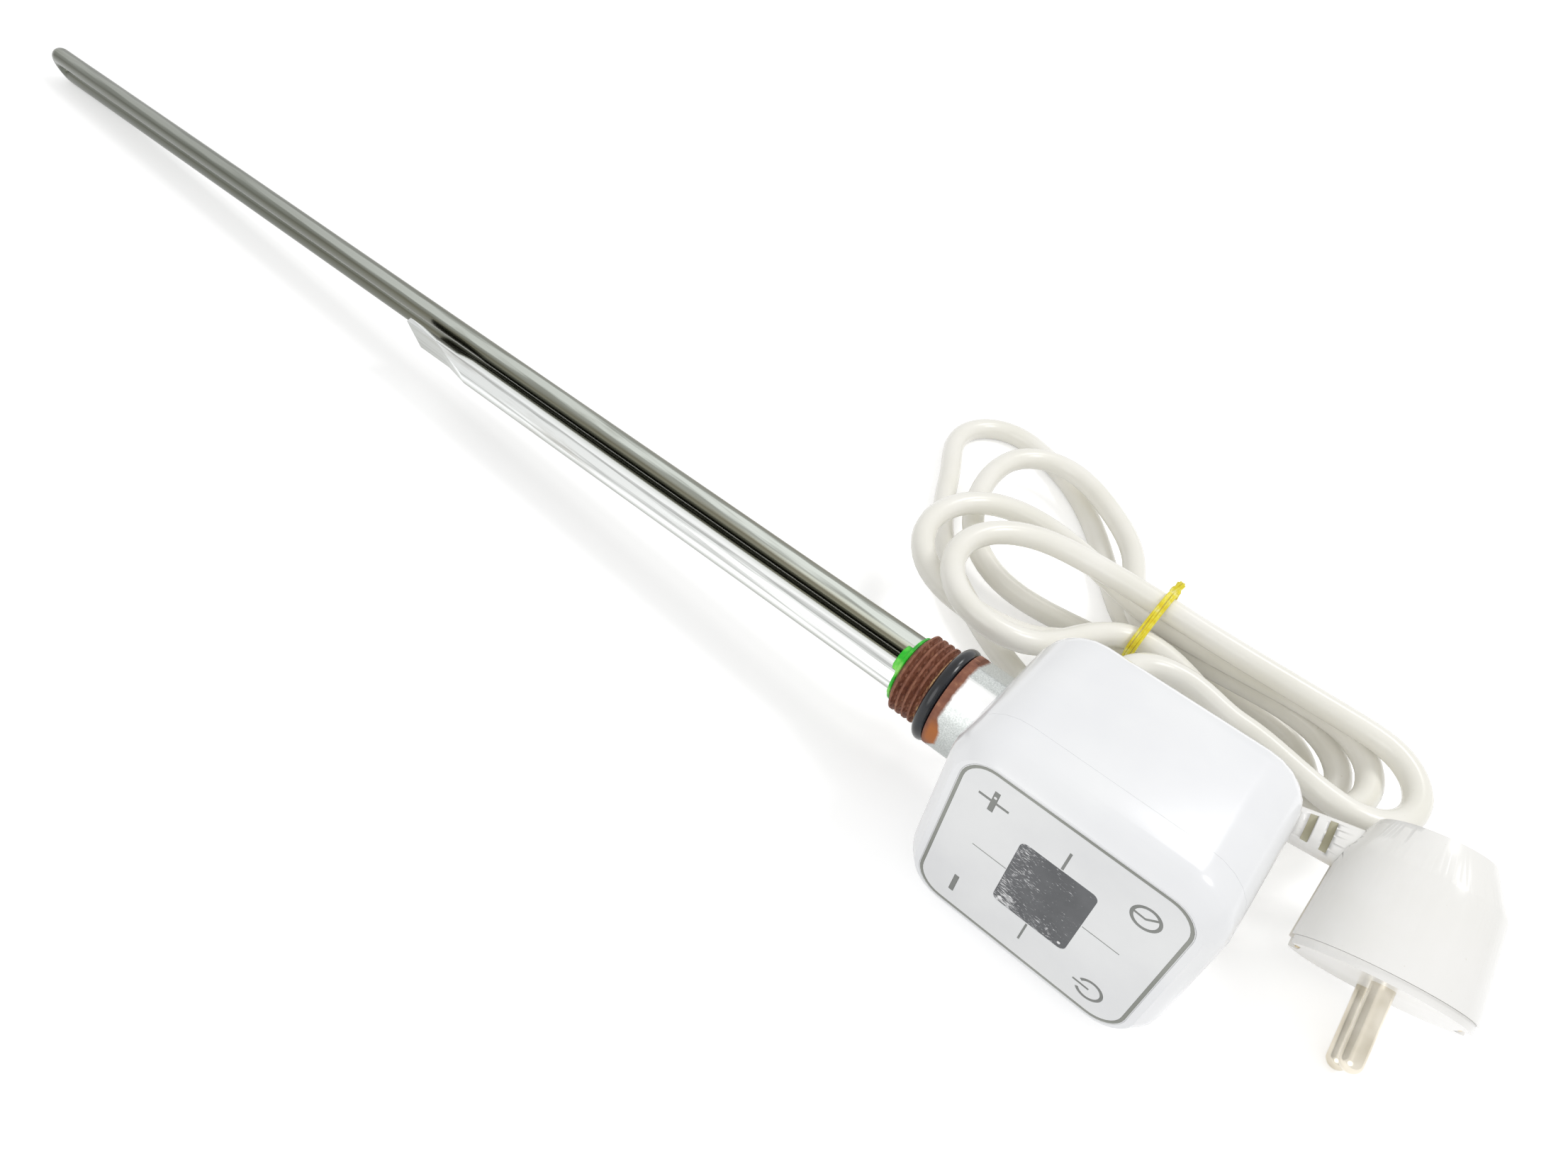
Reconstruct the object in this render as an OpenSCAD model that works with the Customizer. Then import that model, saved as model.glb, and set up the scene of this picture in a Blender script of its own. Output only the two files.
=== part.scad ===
/* [Element] */
// Length of the element from the sealing shoulder to the tip of the hairpin
element_length = 435; // [250:5:700]
// Outside diameter of the heating tube
heat_tube_d = 6.5; // [5.5:0.1:6.6]
// Wall of the heating tube
heat_tube_wall = 0.55; // [0.4:0.05:0.8]
// Distance between the two legs of the hairpin
leg_pitch = 7.8; // [7.4:0.1:8]
// Angle of the hairpin's plane from upright, about the element's axis
leg_roll = 20; // [0:5:30]
// Length of the cold ends behind the shoulder
cold_length = 48; // [20:1:80]
// Diameter of the terminal pins
terminal_pin_d = 2.4; // [1.6:0.1:2.6]

/* [Sensor tube] */
// Outside diameter of the sensor tube
sensor_tube_d = 8; // [6.5:0.1:8.1]
// Wall of the sensor tube
sensor_tube_wall = 0.5; // [0.4:0.05:0.7]
// Length of the sensor tube from the shoulder
sensor_length = 199; // [120:1:240]
// Length of its pinched end
pinch_length = 27; // [20:1:35]
// Thickness of the pinched end
pinch_thickness = 1.6; // [1:0.1:2.5]

/* [Threaded plug] */
// Major diameter of the G 1/2 thread
thread_d = 20.955; // [20.8:0.005:21.1]
// Pitch of the thread
thread_pitch = 1.814; // [1.5:0.001:2]
// Length of the thread
thread_length = 8.6; // [7.3:0.1:14]
// Diameter of the neck that carries the O-ring
neck_d = 18.6; // [18.4:0.1:19]
// Thickness of the O-ring's section
o_ring_section = 3.1; // [2.6:0.05:3.2]
// Diameter of the collar
collar_d = 24.6; // [23:0.1:28]
// Length of the collar between the shoulder and the head
collar_length = 11.2; // [9:0.1:20]
// Distance across the collar's two spanner flats
flats_width = 22.7; // [21.5:0.1:22.9]
// Angle of the flats about the axis, from the panel's side
flats_angle = 60; // [0:5:90]
// Diameter of the spigot inside the head
spigot_d = 20.4; // [19.5:0.1:21]
// Height of the retaining nut
nut_height = 4; // [3:0.1:6]

/* [Head] */
// Length of the head along the element
head_length = 62.8; // [61:0.2:80]
// Height of the head
head_height = 55.8; // [55:0.2:64]
// Distance from the element's axis to the panel
panel_offset = 30.2; // [29.8:0.1:36]
// Distance from the element's axis to the back
back_offset = 18.2; // [18:0.1:26]
// Wall of the two housing halves
wall = 2.2; // [1.8:0.1:2.6]
// Depth of the front cover
cover_depth = 11.5; // [11.3:0.1:12.5]
// Radius of the head's four corners, seen from the panel
corner_r = 12.2; // [11:0.2:13]
// Radius of the edge round the back
back_edge_r = 7.3; // [5:0.1:8]
// How far the panel's face is drawn in from the head's sides
bezel_inset = 3.6; // [2.5:0.1:4]
// Depth over which the sides draw in to the panel
bezel_depth = 6; // [4:0.5:7]
// Depth of the groove for the seal between the two halves
seal_groove = 0.8; // [0.5:0.1:1.2]
// Diameter of the cover screws
cover_screw_d = 2.9; // [2.2:0.1:3]

/* [Panel] */
// Width of the cover's rim beyond the ends of the keypad foil
foil_end_margin = 1.65; // [1.5:0.05:3]
// Width of the cover's rim above and below the foil
foil_edge_margin = 0.7; // [0.6:0.05:2]
// Thickness of the foil
foil_thickness = 0.3; // [0.2:0.05:0.5]
// Corner radius of the foil
foil_r = 7; // [4:0.5:8]
// Length of the display window
window_length = 17.9; // [14:0.1:19]
// Height of the display window
window_height = 21.6; // [16:0.1:23]
// Distance of the keys from the foil's ends
key_end_margin = 8.5; // [8:0.05:9]
// Distance of the keys from the foil's long edges
key_edge_margin = 8.2; // [8:0.1:9]
// Diameter of the keys
key_d = 5.4; // [4:0.1:6]
// Travel of the keys
key_travel = 0.25; // [0.15:0.05:0.3]

/* [Electronics] */
// Thickness of the boards
board_thickness = 1.6; // [1:0.1:2]
// Distance from the panel's face to the control board
control_depth = 8.6; // [8.2:0.1:9]
// Size of a switch body
switch_size = 6.2; // [6:0.1:7]
// Height of a switch body
switch_height = 3.4; // [3:0.1:3.8]
// Height of the relay
relay_height = 10; // [8:0.5:11]

/* [Mains lead] */
// Diameter of the mains lead
cord_d = 6.8; // [6.4:0.1:7]
// Length of the strain relief boot
boot_length = 20; // [18:0.5:21]
// Diameter of the boot at the head
boot_d = 12; // [10:0.5:13]
// Radius of the tightest folds of the hank
fold_r = 15; // [14:0.5:16]
// Least gap between two layers of the hank
layer_gap = 0.45; // [0.4:0.05:0.6]

/* [Mains plug] */
// Diameter of the plug's pins
plug_pin_d = 4.8; // [4:0.1:4.8]
// Length of the plug's pins
plug_pin_length = 19; // [17:0.5:20]
// Distance between the plug's pins
plug_pin_pitch = 19; // [18:0.5:20]
// Diameter of the plug's face
plug_d = 38; // [36:0.5:40]
// Depth of the plug's body
plug_depth = 34; // [30:0.5:38]
// Thickness of the plug's face plate
face_thickness = 2; // [1:0.1:3]
// Tip of the plug about its cord, from upright
plug_tip = 56; // [50:1:60]
// Fall of the plug towards its cord
plug_fall = 12; // [8:1:14]
// Turn of the plug about the upright
plug_turn = 4; // [0:1:8]

/* [Hidden] */
$fn = 64;
eps = 0.01;

// Clearances
tube_fit = 0.05;
slide_fit = 0.25;
part_gap = 0.1;

// The frame's origin is the middle of the thread, on the element's axis.
// x runs along the element towards the head, y from the panel to the back.
thread_front_x = -thread_length / 2;
thread_end_x = thread_length / 2;
ring_room = 0.3;
shoulder_x = thread_end_x + o_ring_section + ring_room;
tip_x = shoulder_x - element_length;
heat_r = heat_tube_d / 2;
fill_r = heat_r - heat_tube_wall;
pin_r = terminal_pin_d / 2;
coil_r = pin_r;
coil_wire = 0.4;
bend_r = leg_pitch / 2;
bend_x = tip_x + bend_r + heat_r;

// The hairpin and the sensor tube sit side by side inside the thread's core.
hairpin_y = 3.7;
hairpin_z = 1.1;
sensor_y = -4;
sensor_z = 0.1;
sensor_r = sensor_tube_d / 2;
sensor_tip_x = shoulder_x - sensor_length;
pinch_x = sensor_tip_x + pinch_length;
pinch_width = PI * (sensor_r - sensor_tube_wall / 2) - 0.5;

// Head
head_x = shoulder_x + collar_length;
head_end_x = head_x + head_length;
head_mid_x = head_x + head_length / 2;
half_h = head_height / 2;
panel_y = -panel_offset;
seam_y = panel_y + cover_depth;
back_y = back_offset;
inner_x = head_x + wall;
spigot_r = spigot_d / 2;
collar_r = collar_d / 2;
nut_r = spigot_r + 4.5;
nut_x = inner_x + part_gap;
tag_x = nut_x + nut_height + part_gap;
tag_thickness = 0.8;
spigot_end_x = tag_x + tag_thickness + 1;
tube_end_x = spigot_end_x + 1;
seal_length = 3;
seal_end_x = tube_end_x + part_gap + seal_length;
pin_end_x = seal_end_x + 6;
cold_x = shoulder_x - cold_length;

// Panel, set from the head's outline
foil_mid_x = head_mid_x;
foil_length = head_length - 2 * (bezel_inset + foil_end_margin);
foil_height = head_height - 2 * (bezel_inset + foil_edge_margin);
key_row = foil_length / 2 - key_end_margin;
key_rise = foil_height / 2 - key_edge_margin;
foil_y = panel_y;
cover_face_y = panel_y + foil_thickness;
control_y = panel_y + control_depth;
switch_front_y = control_y - switch_height;
key_tip_y = switch_front_y + 1.4;
stem_d = 3;
key_front_y = cover_face_y + part_gap;

// Boards behind the seam
power_y = seam_y + 5;
power_board_back_y = power_y + board_thickness;
board_x = pin_end_x + 3;
board_end_x = head_end_x - wall - 3;
board_half_h = half_h - wall - 6;

// How the object lies: the hairpin's tip and the head's lower edge touch one plane.
rest_tip_z = hairpin_z - bend_r * cos(leg_roll) - heat_r;
rest_edge_x = head_x + corner_r;
rest_edge_z = -half_h + corner_r;
rest_run = rest_edge_x - bend_x;
rest_rise = rest_tip_z - rest_edge_z;
rest_reach = sqrt(rest_run * rest_run + rest_rise * rest_rise);
lie_angle = atan2(rest_rise, rest_run) + asin(corner_r / rest_reach);
floor_z = bend_x * sin(lie_angle) + rest_tip_z * cos(lie_angle);

// A point of the element's frame, as it lies
function lain(p) = [
    p.x * cos(lie_angle) - p.z * sin(lie_angle),
    p.y,
    p.x * sin(lie_angle) + p.z * cos(lie_angle)
];

// Where the lead enters the head
gland_x = head_x + 14.2;
gland_z = 0.5;
cord_r = cord_d / 2;
gland = lain([gland_x, back_y, gland_z]);
boot_end_y = back_y + boot_length;

// The mains plug leans on the tip of its lower pin.
plug_pin_r = plug_pin_d / 2;
plug_r = plug_d / 2;
pin_wall_length = plug_pin_length - plug_pin_r;
shank_r = plug_pin_r - 0.5;
shank_length = 7;
pin_drop = plug_pin_pitch / 2 * sin(plug_tip) + pin_wall_length * cos(plug_tip);
plug_at = [head_end_x + 32.8, 13.4, floor_z + plug_pin_r + cos(plug_fall) * pin_drop];
relief_z = 25;
relief_d = 11;
relief_start_x = plug_r - 4;
relief_length = 16;
relief_end_x = relief_start_x + relief_length;

// A point of the plug's frame, as it lies: the face is z = 0 and the cord leaves along -x.
function tipped(p) = [
    p.x,
    p.y * cos(plug_tip) + p.z * sin(plug_tip),
    p.z * cos(plug_tip) - p.y * sin(plug_tip)
];
function fallen(p) = [
    p.x * cos(plug_fall) - p.z * sin(plug_fall),
    p.y,
    p.x * sin(plug_fall) + p.z * cos(plug_fall)
];
function turned(p) = [
    p.x * cos(plug_turn) - p.y * sin(plug_turn),
    p.x * sin(plug_turn) + p.y * cos(plug_turn),
    p.z
];
function plug_point(p) = plug_at + turned(fallen(tipped(p)));
tail_end = plug_point([-relief_end_x, 0, relief_z]);
tail_dir = plug_point([-relief_end_x - 1, 0, relief_z]) - tail_end;

// The hank: loops laid in layers, tied at the waist. Layer 0 is the top one, layer 3 lies on the ground.
layer_step = cord_d + layer_gap;
tie_x = 30;
waist_y = 69;
waist_step = 2.6;
waist_half = (cord_d + 0.6) / 2;
waist_run = 8;
tie_thickness = 1;
tie_clear = 0.6;
tie_lift = tie_thickness + tie_clear;
spline_swell = 1.1;
rings_per_span = 2;
cord_sides = 6;
bottom_layer = 3;
function layer_z(k) =
    floor_z + cord_r + layer_step * (bottom_layer - k) + (k < bottom_layer ? tie_lift : 0);
fold_angle = 22.5;
// An arc of the hank round a centre, by its steps of the fold angle
function fold(cx, cy, r, z, steps) = [
    for (i = steps) [
        cx + r * spline_swell * cos(i * fold_angle),
        cy + r * spline_swell * sin(i * fold_angle),
        z
    ]
];
// A strand's two points on both sides of the tie, from left to right or back
function waist(side, k, way) = [
    for (i = [-way, way]) [
        tie_x + i * waist_run,
        waist_y + waist_step * k + side * waist_half,
        max(layer_z(k), floor_z + cord_r + tie_lift)
    ]
];
right_steps = [-3, -1, 1, 3];
left_steps = [5, 7, 9, 11];
front_fold_r = fold_r + 5;
low_fold_r = fold_r + 9;
back_fold_r = fold_r + 3;
far_fold_r = fold_r + 1;
sag = 0.6;
top = layer_z(0);
second = layer_z(1);
third = layer_z(2);
ground = layer_z(3);
end_step = cord_d;
hank_in_dir = [1, 0, 0];
hank_in = [62, 50, top];
hank_out_dir = [cos(60), -sin(60), 0];
hank_out = [-44, 84, ground];
hank_controls = concat(
    [for (i = [-1, 0, 1]) hank_in + i * end_step * hank_in_dir],
    // Top layer: the right fold, the far run and the front fold
    [[83, 46.5, top]],
    fold(90, 61, fold_r, top, right_steps),
    [[83, 75.5, top], [56, 73.5, top]],
    waist(1, 0, -1),
    [[5, 71, top]],
    fold(-1, 48, front_fold_r, top, left_steps),
    // Down behind the head to the second layer
    [[5, 28, -0.5], [14, 36, -2.5], [18, 49, -5], [24, 62, -6.8]],
    [waist(-1, 1, 1)[1], [72, 49, second]],
    fold(78, 64, back_fold_r, second, right_steps),
    [[66, 80, second]],
    waist(1, 1, -1),
    [[4, 82, second]],
    fold(-12, 60, low_fold_r, second, concat(left_steps, [13])),
    // Third layer, which ends in the fold that stands off at the back
    [[10, 46, -12], [19, 61, -13.8]],
    [waist(-1, 2, 1)[1], [67, 51, third]],
    fold(73, 66, back_fold_r, third, right_steps),
    [[61, 83, third]],
    waist(1, 2, -1),
    [[14, 105, third - sag], [-3, 118, third - sag]],
    fold(-21, 107, back_fold_r, third - sag, [4, 6, 8]),
    // Down to the ground, and round the far fold
    [[-36, 84, third - sag], [-25, 68, -17], [-6, 64, -21]],
    waist(-1, 3, 1),
    [[62, 53, ground]],
    fold(68, 68, back_fold_r, ground, right_steps),
    [[56, 85, ground]],
    waist(1, 3, -1),
    [[0, 112, ground], [-18, 128, ground]],
    fold(-45, 121, far_fold_r, ground, [3, 5, 7, 9]),
    [[-53, 102, ground]],
    [for (i = [-1, 0, 1]) hank_out + i * end_step * hank_out_dir]
);
function spline_at(c, i, t) = (
    c[i] * pow(1 - t, 3)
    + c[i + 1] * (3 * pow(t, 3) - 6 * pow(t, 2) + 4)
    + c[i + 2] * (3 * t + 3 * pow(t, 2) - 3 * pow(t, 3) + 1)
    + c[i + 3] * pow(t, 3)
) / 6;
function spline(c, n) = [
    for (i = [0 : len(c) - 4])
        for (j = [0 : n - (i < len(c) - 4 ? 1 : 0)])
            spline_at(c, i, j / n)
];
hank_path = spline(hank_controls, rings_per_span);
hank_first = hank_path[0];
hank_last = hank_path[len(hank_path) - 1];

// Free stretches of the lead, through points set by hand
lead_points = [
    [gland.x, boot_end_y, gland.z],
    [37, 48, 1.5],
    [47, 52, 0.8]
];
tail_points = [
    [-32, 67, -22.5],
    [-14, 52, -21],
    [8, 41, -21],
    [30, 36, -21],
    [42, 34.5, -18.4],
    [55, 34, -11.5],
    [67, 33, -2]
];
function arc_through(p, d0, d1, n) = [
    for (i = [0 : len(p) - 2])
        for (j = [0 : n - (i < len(p) - 2 ? 1 : 0)])
            hermite(p[i], p[i + 1], knot_dir(p, d0, d1, i), knot_dir(p, d0, d1, i + 1), j / n)
];
function knot_dir(p, d0, d1, i) = i == 0 ? d0 : i == len(p) - 1 ? d1 : unit(p[i + 1] - p[i - 1]);
function hermite(a, b, da, db, t) =
    let (s = norm(b - a))
    a * (2 * pow(t, 3) - 3 * pow(t, 2) + 1)
    + da * s * (pow(t, 3) - 2 * pow(t, 2) + t)
    + b * (3 * pow(t, 2) - 2 * pow(t, 3))
    + db * s * (pow(t, 3) - pow(t, 2));
function unit(v) = v / norm(v);
lead_path = arc_through(concat(lead_points, [hank_first]), [0, 1, 0], hank_in_dir, 3);
tail_path = arc_through(concat([hank_last], tail_points, [tail_end]), hank_out_dir, -unit(tail_dir), 3);

// Least gap of the hank to itself, and the lead's length, measured on the routes
function path_length(p, i = 0, sum = 0) =
    i >= len(p) - 1 ? sum : path_length(p, i + 1, sum + norm(p[i + 1] - p[i]));
fine_path = spline(hank_controls, 6);
fine_apart = 12;
function least_gap(p) = min([
    for (i = [0 : len(p) - 1 - fine_apart])
        for (j = [i + fine_apart : len(p) - 1])
            norm(p[i] - p[j])
]) - cord_d;
function gap_between(p, q) = min([for (a = p, b = q) norm(a - b)]) - cord_d;
fine_lead = arc_through(concat(lead_points, [hank_first]), [0, 1, 0], hank_in_dir, 12);
fine_tail = arc_through(concat([hank_last], tail_points, [tail_end]), hank_out_dir, -unit(tail_dir), 12);
far_from_start = [for (i = [20 : len(fine_path) - 1]) fine_path[i]];
far_from_end = [for (i = [0 : len(fine_path) - 20]) fine_path[i]];
echo(hank_gap_to_itself = least_gap(fine_path));
echo(lead_gap_to_hank = gap_between(fine_lead, far_from_start));
echo(tail_gap_to_hank = gap_between(fine_tail, far_from_end));
echo(lead_length = path_length(lead_path) + path_length(fine_path) + path_length(tail_path));
echo(floor_z = floor_z, lie_angle = lie_angle, gland = gland, tail_end = tail_end);
echo(hank_first = hank_first, hank_last = hank_last, plug_at = plug_at, tie_x = tie_x);

// A round tube of flat-sided rings swept along a path
function heading(p, i) = unit(p[min(i + 1, len(p) - 1)] - p[max(i - 1, 0)]);
function ring_at(p, i, r, n) =
    let (d = heading(p, i), s = unit(cross([0, 0, 1], d)), u = cross(d, s))
    [for (j = [0 : n - 1]) p[i] + r * (s * cos(360 * j / n) + u * sin(360 * j / n))];
module swept_tube(p, r, n) {
    m = len(p);
    points = [for (i = [0 : m - 1]) each ring_at(p, i, r, n)];
    sides = [
        for (i = [0 : m - 2])
            for (j = [0 : n - 1])
                each [
                    [i * n + j, (i + 1) * n + j, i * n + (j + 1) % n],
                    [(i + 1) * n + j, (i + 1) * n + (j + 1) % n, i * n + (j + 1) % n]
                ]
    ];
    near_end = [for (j = [1 : n - 2]) [0, j, j + 1]];
    far_end = [for (j = [1 : n - 2]) [(m - 1) * n, (m - 1) * n + j + 1, (m - 1) * n + j]];
    polyhedron(points = points, faces = concat(sides, near_end, far_end), convexity = 10);
}

module lying() {
    rotate([0, -lie_angle, 0]) children();
}

module plug_lying() {
    translate(plug_at) rotate([-plug_tip, -plug_fall, plug_turn]) children();
}

// A cylinder along x from x0 to x1
module rod(x0, x1, r, y = 0, z = 0) {
    translate([x0, y, z]) rotate([0, 90, 0]) cylinder(h = x1 - x0, r = r);
}

// A cylinder along y from y0 to y1
module post(y0, y1, r, x = 0, z = 0) {
    translate([x, y0, z]) rotate([-90, 0, 0]) cylinder(h = y1 - y0, r = r);
}

// A box from one corner to the other
module block(from, to) {
    translate(from) cube(to - from);
}

// Places its children at the hairpin's two legs, side -1 and 1
module at_leg(side) {
    translate([0, hairpin_y, hairpin_z])
        rotate([leg_roll, 0, 0])
            translate([0, 0, side * bend_r])
                children();
}

module at_legs() {
    at_leg(-1) children();
    at_leg(1) children();
}

module hairpin(r, x1) {
    at_legs() rod(bend_x - eps, x1, r);
    translate([bend_x, hairpin_y, hairpin_z])
        rotate([leg_roll, 0, 0])
            rotate([90, 0, 0])
                rotate([0, 0, 90])
                    rotate_extrude(angle = 180)
                        translate([bend_r, 0])
                            circle(r = r);
}

module heating_tube() {
    color("dimgray") lying() difference() {
        hairpin(heat_r, tube_end_x);
        hairpin(fill_r, tube_end_x + 1);
    }
}

module magnesia_core() {
    color("white") lying() difference() {
        hairpin(fill_r - tube_fit, tube_end_x);
        hairpin(coil_r + tube_fit, tube_end_x + 1);
    }
}

module resistance_coil() {
    color("silver") lying() difference() {
        hairpin(coil_r, cold_x);
        hairpin(coil_r - coil_wire, cold_x + 1);
    }
}

module terminal_pins() {
    color("silver") lying() at_legs() rod(cold_x + part_gap, pin_end_x, pin_r);
}

module end_seals() {
    color("ivory") lying() at_legs() difference() {
        rod(tube_end_x + part_gap, seal_end_x, heat_r);
        rod(tube_end_x, seal_end_x + 1, pin_r + tube_fit);
    }
}

spade_length = 6;
module spade_terminals() {
    color("silver") lying() at_legs() difference() {
        translate([seal_end_x + 0.5, -3.2, -pin_r - 0.9]) cube([spade_length, 6.4, 2 * pin_r + 1.2]);
        rod(seal_end_x, seal_end_x + spade_length + 1, pin_r + tube_fit);
    }
}

module sensor_outline(r, half_thickness, half_width, x1) {
    rod(pinch_x, x1, r, sensor_y, sensor_z);
    translate([0, sensor_y, sensor_z]) rotate([leg_roll, 0, 0]) {
        hull() {
            rod(pinch_x, pinch_x + eps, r);
            translate([pinch_x - 13, -half_thickness, -half_width]) cube([eps, 2 * half_thickness, 2 * half_width]);
        }
    }
}

module sensor_tube() {
    color("lightgray") lying() {
        difference() {
            union() {
                sensor_outline(sensor_r, pinch_thickness / 2, pinch_width / 2, tube_end_x);
                translate([0, sensor_y, sensor_z]) rotate([leg_roll, 0, 0])
                    block(
                        [sensor_tip_x, -pinch_thickness / 2, -pinch_width / 2],
                        [pinch_x - 13 + eps, pinch_thickness / 2, pinch_width / 2]
                    );
            }
            rod(pinch_x, tube_end_x + 1, sensor_r - sensor_tube_wall, sensor_y, sensor_z);
        }
    }
}

sleeve_r = sensor_r - sensor_tube_wall - tube_fit;
sleeve_bore_r = sleeve_r - 0.7;
probe_length = 10;
probe_x = pinch_x + 0.2;
sleeve_x = probe_x + probe_length + 0.2;
module insulating_sleeve() {
    color("beige") lying() difference() {
        rod(sleeve_x, tube_end_x + 2, sleeve_r, sensor_y, sensor_z);
        rod(sleeve_x - 1, tube_end_x + 3, sleeve_bore_r, sensor_y, sensor_z);
    }
}

module temperature_probe() {
    color("black") lying() rod(probe_x, probe_x + probe_length, sleeve_r, sensor_y, sensor_z);
}

fuse_r = 1.5;
module thermal_fuse() {
    color("silver") lying()
        rod(cold_x - 20, cold_x - 8, fuse_r, sensor_y + sleeve_bore_r - fuse_r - part_gap, sensor_z);
}

sensor_wire_r = 0.45;
module sensor_wires() {
    color("white") lying() for (side = [-1, 1])
        rod(
            sleeve_x - part_gap,
            pin_end_x,
            sensor_wire_r,
            sensor_y - sleeve_bore_r + sensor_wire_r + 0.35,
            sensor_z + side * 0.8
        );
}

// One crest of the thread, as a ring with a flat land
crest_land = 0.5;
crest_height = (thread_d - neck_d) / 2;
module crest(x) {
    translate([x, 0, 0]) rotate([0, 90, 0]) rotate_extrude()
        polygon([
            [neck_d / 2 - 0.5, -thread_pitch / 2],
            [neck_d / 2, -thread_pitch / 2],
            [thread_d / 2, -crest_land / 2],
            [thread_d / 2, crest_land / 2],
            [neck_d / 2, thread_pitch / 2],
            [neck_d / 2 - 0.5, thread_pitch / 2]
        ]);
}

crests = floor((thread_length - crest_land) / thread_pitch);
chamfer = 0.6;
rim_length = 1.8;
module threaded_plug() {
    color("peru") lying() difference() {
        union() {
            rod(thread_front_x + chamfer, shoulder_x + eps, neck_d / 2);
            translate([thread_front_x, 0, 0]) rotate([0, 90, 0])
                cylinder(h = chamfer, r1 = neck_d / 2 - chamfer / 2, r2 = neck_d / 2);
            for (i = [0 : crests])
                intersection() {
                    crest(thread_end_x - crest_land / 2 - i * thread_pitch);
                    rod(thread_front_x + chamfer, thread_end_x, thread_d);
                }
            difference() {
                rod(shoulder_x, head_x - part_gap, collar_r);
                for (side = [0, 180])
                    rotate([flats_angle + side, 0, 0])
                        block(
                            [shoulder_x + rim_length, -collar_d, -collar_d],
                            [head_x, -flats_width / 2, collar_d]
                        );
            }
            rod(head_x - 1, spigot_end_x, spigot_r);
        }
        at_legs() rod(thread_front_x - 1, spigot_end_x + 1, heat_r + tube_fit);
        rod(thread_front_x - 1, spigot_end_x + 1, sensor_r + tube_fit, sensor_y, sensor_z);
    }
}

module o_ring() {
    color("black") lying()
        translate([shoulder_x - o_ring_section / 2 - tube_fit, 0, 0]) rotate([0, 90, 0]) rotate_extrude()
            translate([neck_d / 2 + o_ring_section / 2 + tube_fit, 0])
                circle(d = o_ring_section, $fn = 32);
}

sealant_thickness = 1.2;
module sealant() {
    color("limegreen") lying() difference() {
        union() {
            rod(thread_front_x - sealant_thickness, thread_front_x - tube_fit, neck_d / 2 - 0.4);
            rod(thread_front_x - 3, thread_front_x - 0.5, 5.2, -1.5, 2);
        }
        at_legs() rod(thread_front_x - 4, thread_front_x + 1, heat_r + tube_fit);
        rod(thread_front_x - 4, thread_front_x + 1, sensor_r + tube_fit, sensor_y, sensor_z);
    }
}

module retaining_nut() {
    color("goldenrod") lying() difference() {
        translate([nut_x, 0, 0]) rotate([0, 90, 0]) cylinder(h = nut_height, r = nut_r, $fn = 6);
        rod(nut_x - 1, nut_x + nut_height + 1, spigot_r + tube_fit);
    }
}

tag_reach = 4.5;
module earth_tag() {
    color("silver") lying() difference() {
        union() {
            rod(tag_x, tag_x + tag_thickness, spigot_r + 2);
            block([tag_x, spigot_r - 4, -3.2], [tag_x + tag_thickness, spigot_r + tag_reach, 3.2]);
        }
        rod(tag_x - 1, tag_x + 2, spigot_r + tube_fit);
    }
}

// The head's outer form: round corners seen from the panel, sides that draw in
// towards the panel, and a round edge at the back
bezel_steps = 3;
edge_steps = 5;
corner_steps = 6;
bezel_curve = 1.6;
ring_sides = 4 * (corner_steps + 1);
function round_corners(length, height, r) = [
    for (i = [0 : 3], j = [0 : corner_steps])
        let (angle = 90 * (i + j / corner_steps))
        [
            (i == 0 || i == 3 ? 1 : -1) * (length / 2 - r) + r * cos(angle),
            (i < 2 ? 1 : -1) * (height / 2 - r) + r * sin(angle)
        ]
];
// Depth of each ring of the form, and how far it is drawn in from the sides
function form_rings(inset, back_r) = [
    for (i = [0 : bezel_steps])
        let (t = i / bezel_steps)
        [panel_y + inset + t * bezel_depth, inset + bezel_inset * pow(1 - t, bezel_curve)],
    for (i = [0 : edge_steps])
        let (angle = 90 * i / edge_steps)
        [back_y - inset - back_r * (1 - sin(angle)), inset + back_r * (1 - cos(angle))]
];
module head_form(inset) {
    rings = form_rings(inset, back_edge_r - inset / 2);
    last = len(rings) - 1;
    points = [
        for (ring = rings)
            for (p = round_corners(head_length - 2 * ring[1], head_height - 2 * ring[1], corner_r - ring[1]))
                [head_mid_x + p.x, ring[0], p.y]
    ];
    sides = [
        for (k = [0 : last - 1], i = [0 : ring_sides - 1])
            let (j = (i + 1) % ring_sides)
            [ring_sides * k + i, ring_sides * k + j, ring_sides * (k + 1) + j, ring_sides * (k + 1) + i]
    ];
    front = [for (i = [ring_sides - 1 : -1 : 0]) i];
    back = [for (i = [0 : ring_sides - 1]) ring_sides * last + i];
    polyhedron(points, [front, each sides, back]);
}

window_r = 1.6;
module rounded_plate(y0, y1, length, height, r, mid_x) {
    translate([mid_x, y1, 0]) rotate([90, 0, 0]) linear_extrude(y1 - y0) {
        square([length - 2 * r, height], center = true);
        square([length, height - 2 * r], center = true);
        for (x = [-1, 1], z = [-1, 1])
            translate([x * (length / 2 - r), z * (height / 2 - r)]) circle(r = r);
    }
}

// A ring in the rim's face, as far from the outside as from the inside
seal_inset = 0.7;
seal_width = 0.8;
module seal_ring(y0, y1, gap) {
    outer = seal_inset + gap;
    inner = seal_inset + seal_width - gap;
    difference() {
        rounded_plate(y0, y1, head_length - 2 * outer, head_height - 2 * outer, corner_r - outer, head_mid_x);
        rounded_plate(y0 - 1, y1 + 1, head_length - 2 * inner, head_height - 2 * inner, corner_r - inner, head_mid_x);
    }
}

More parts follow.
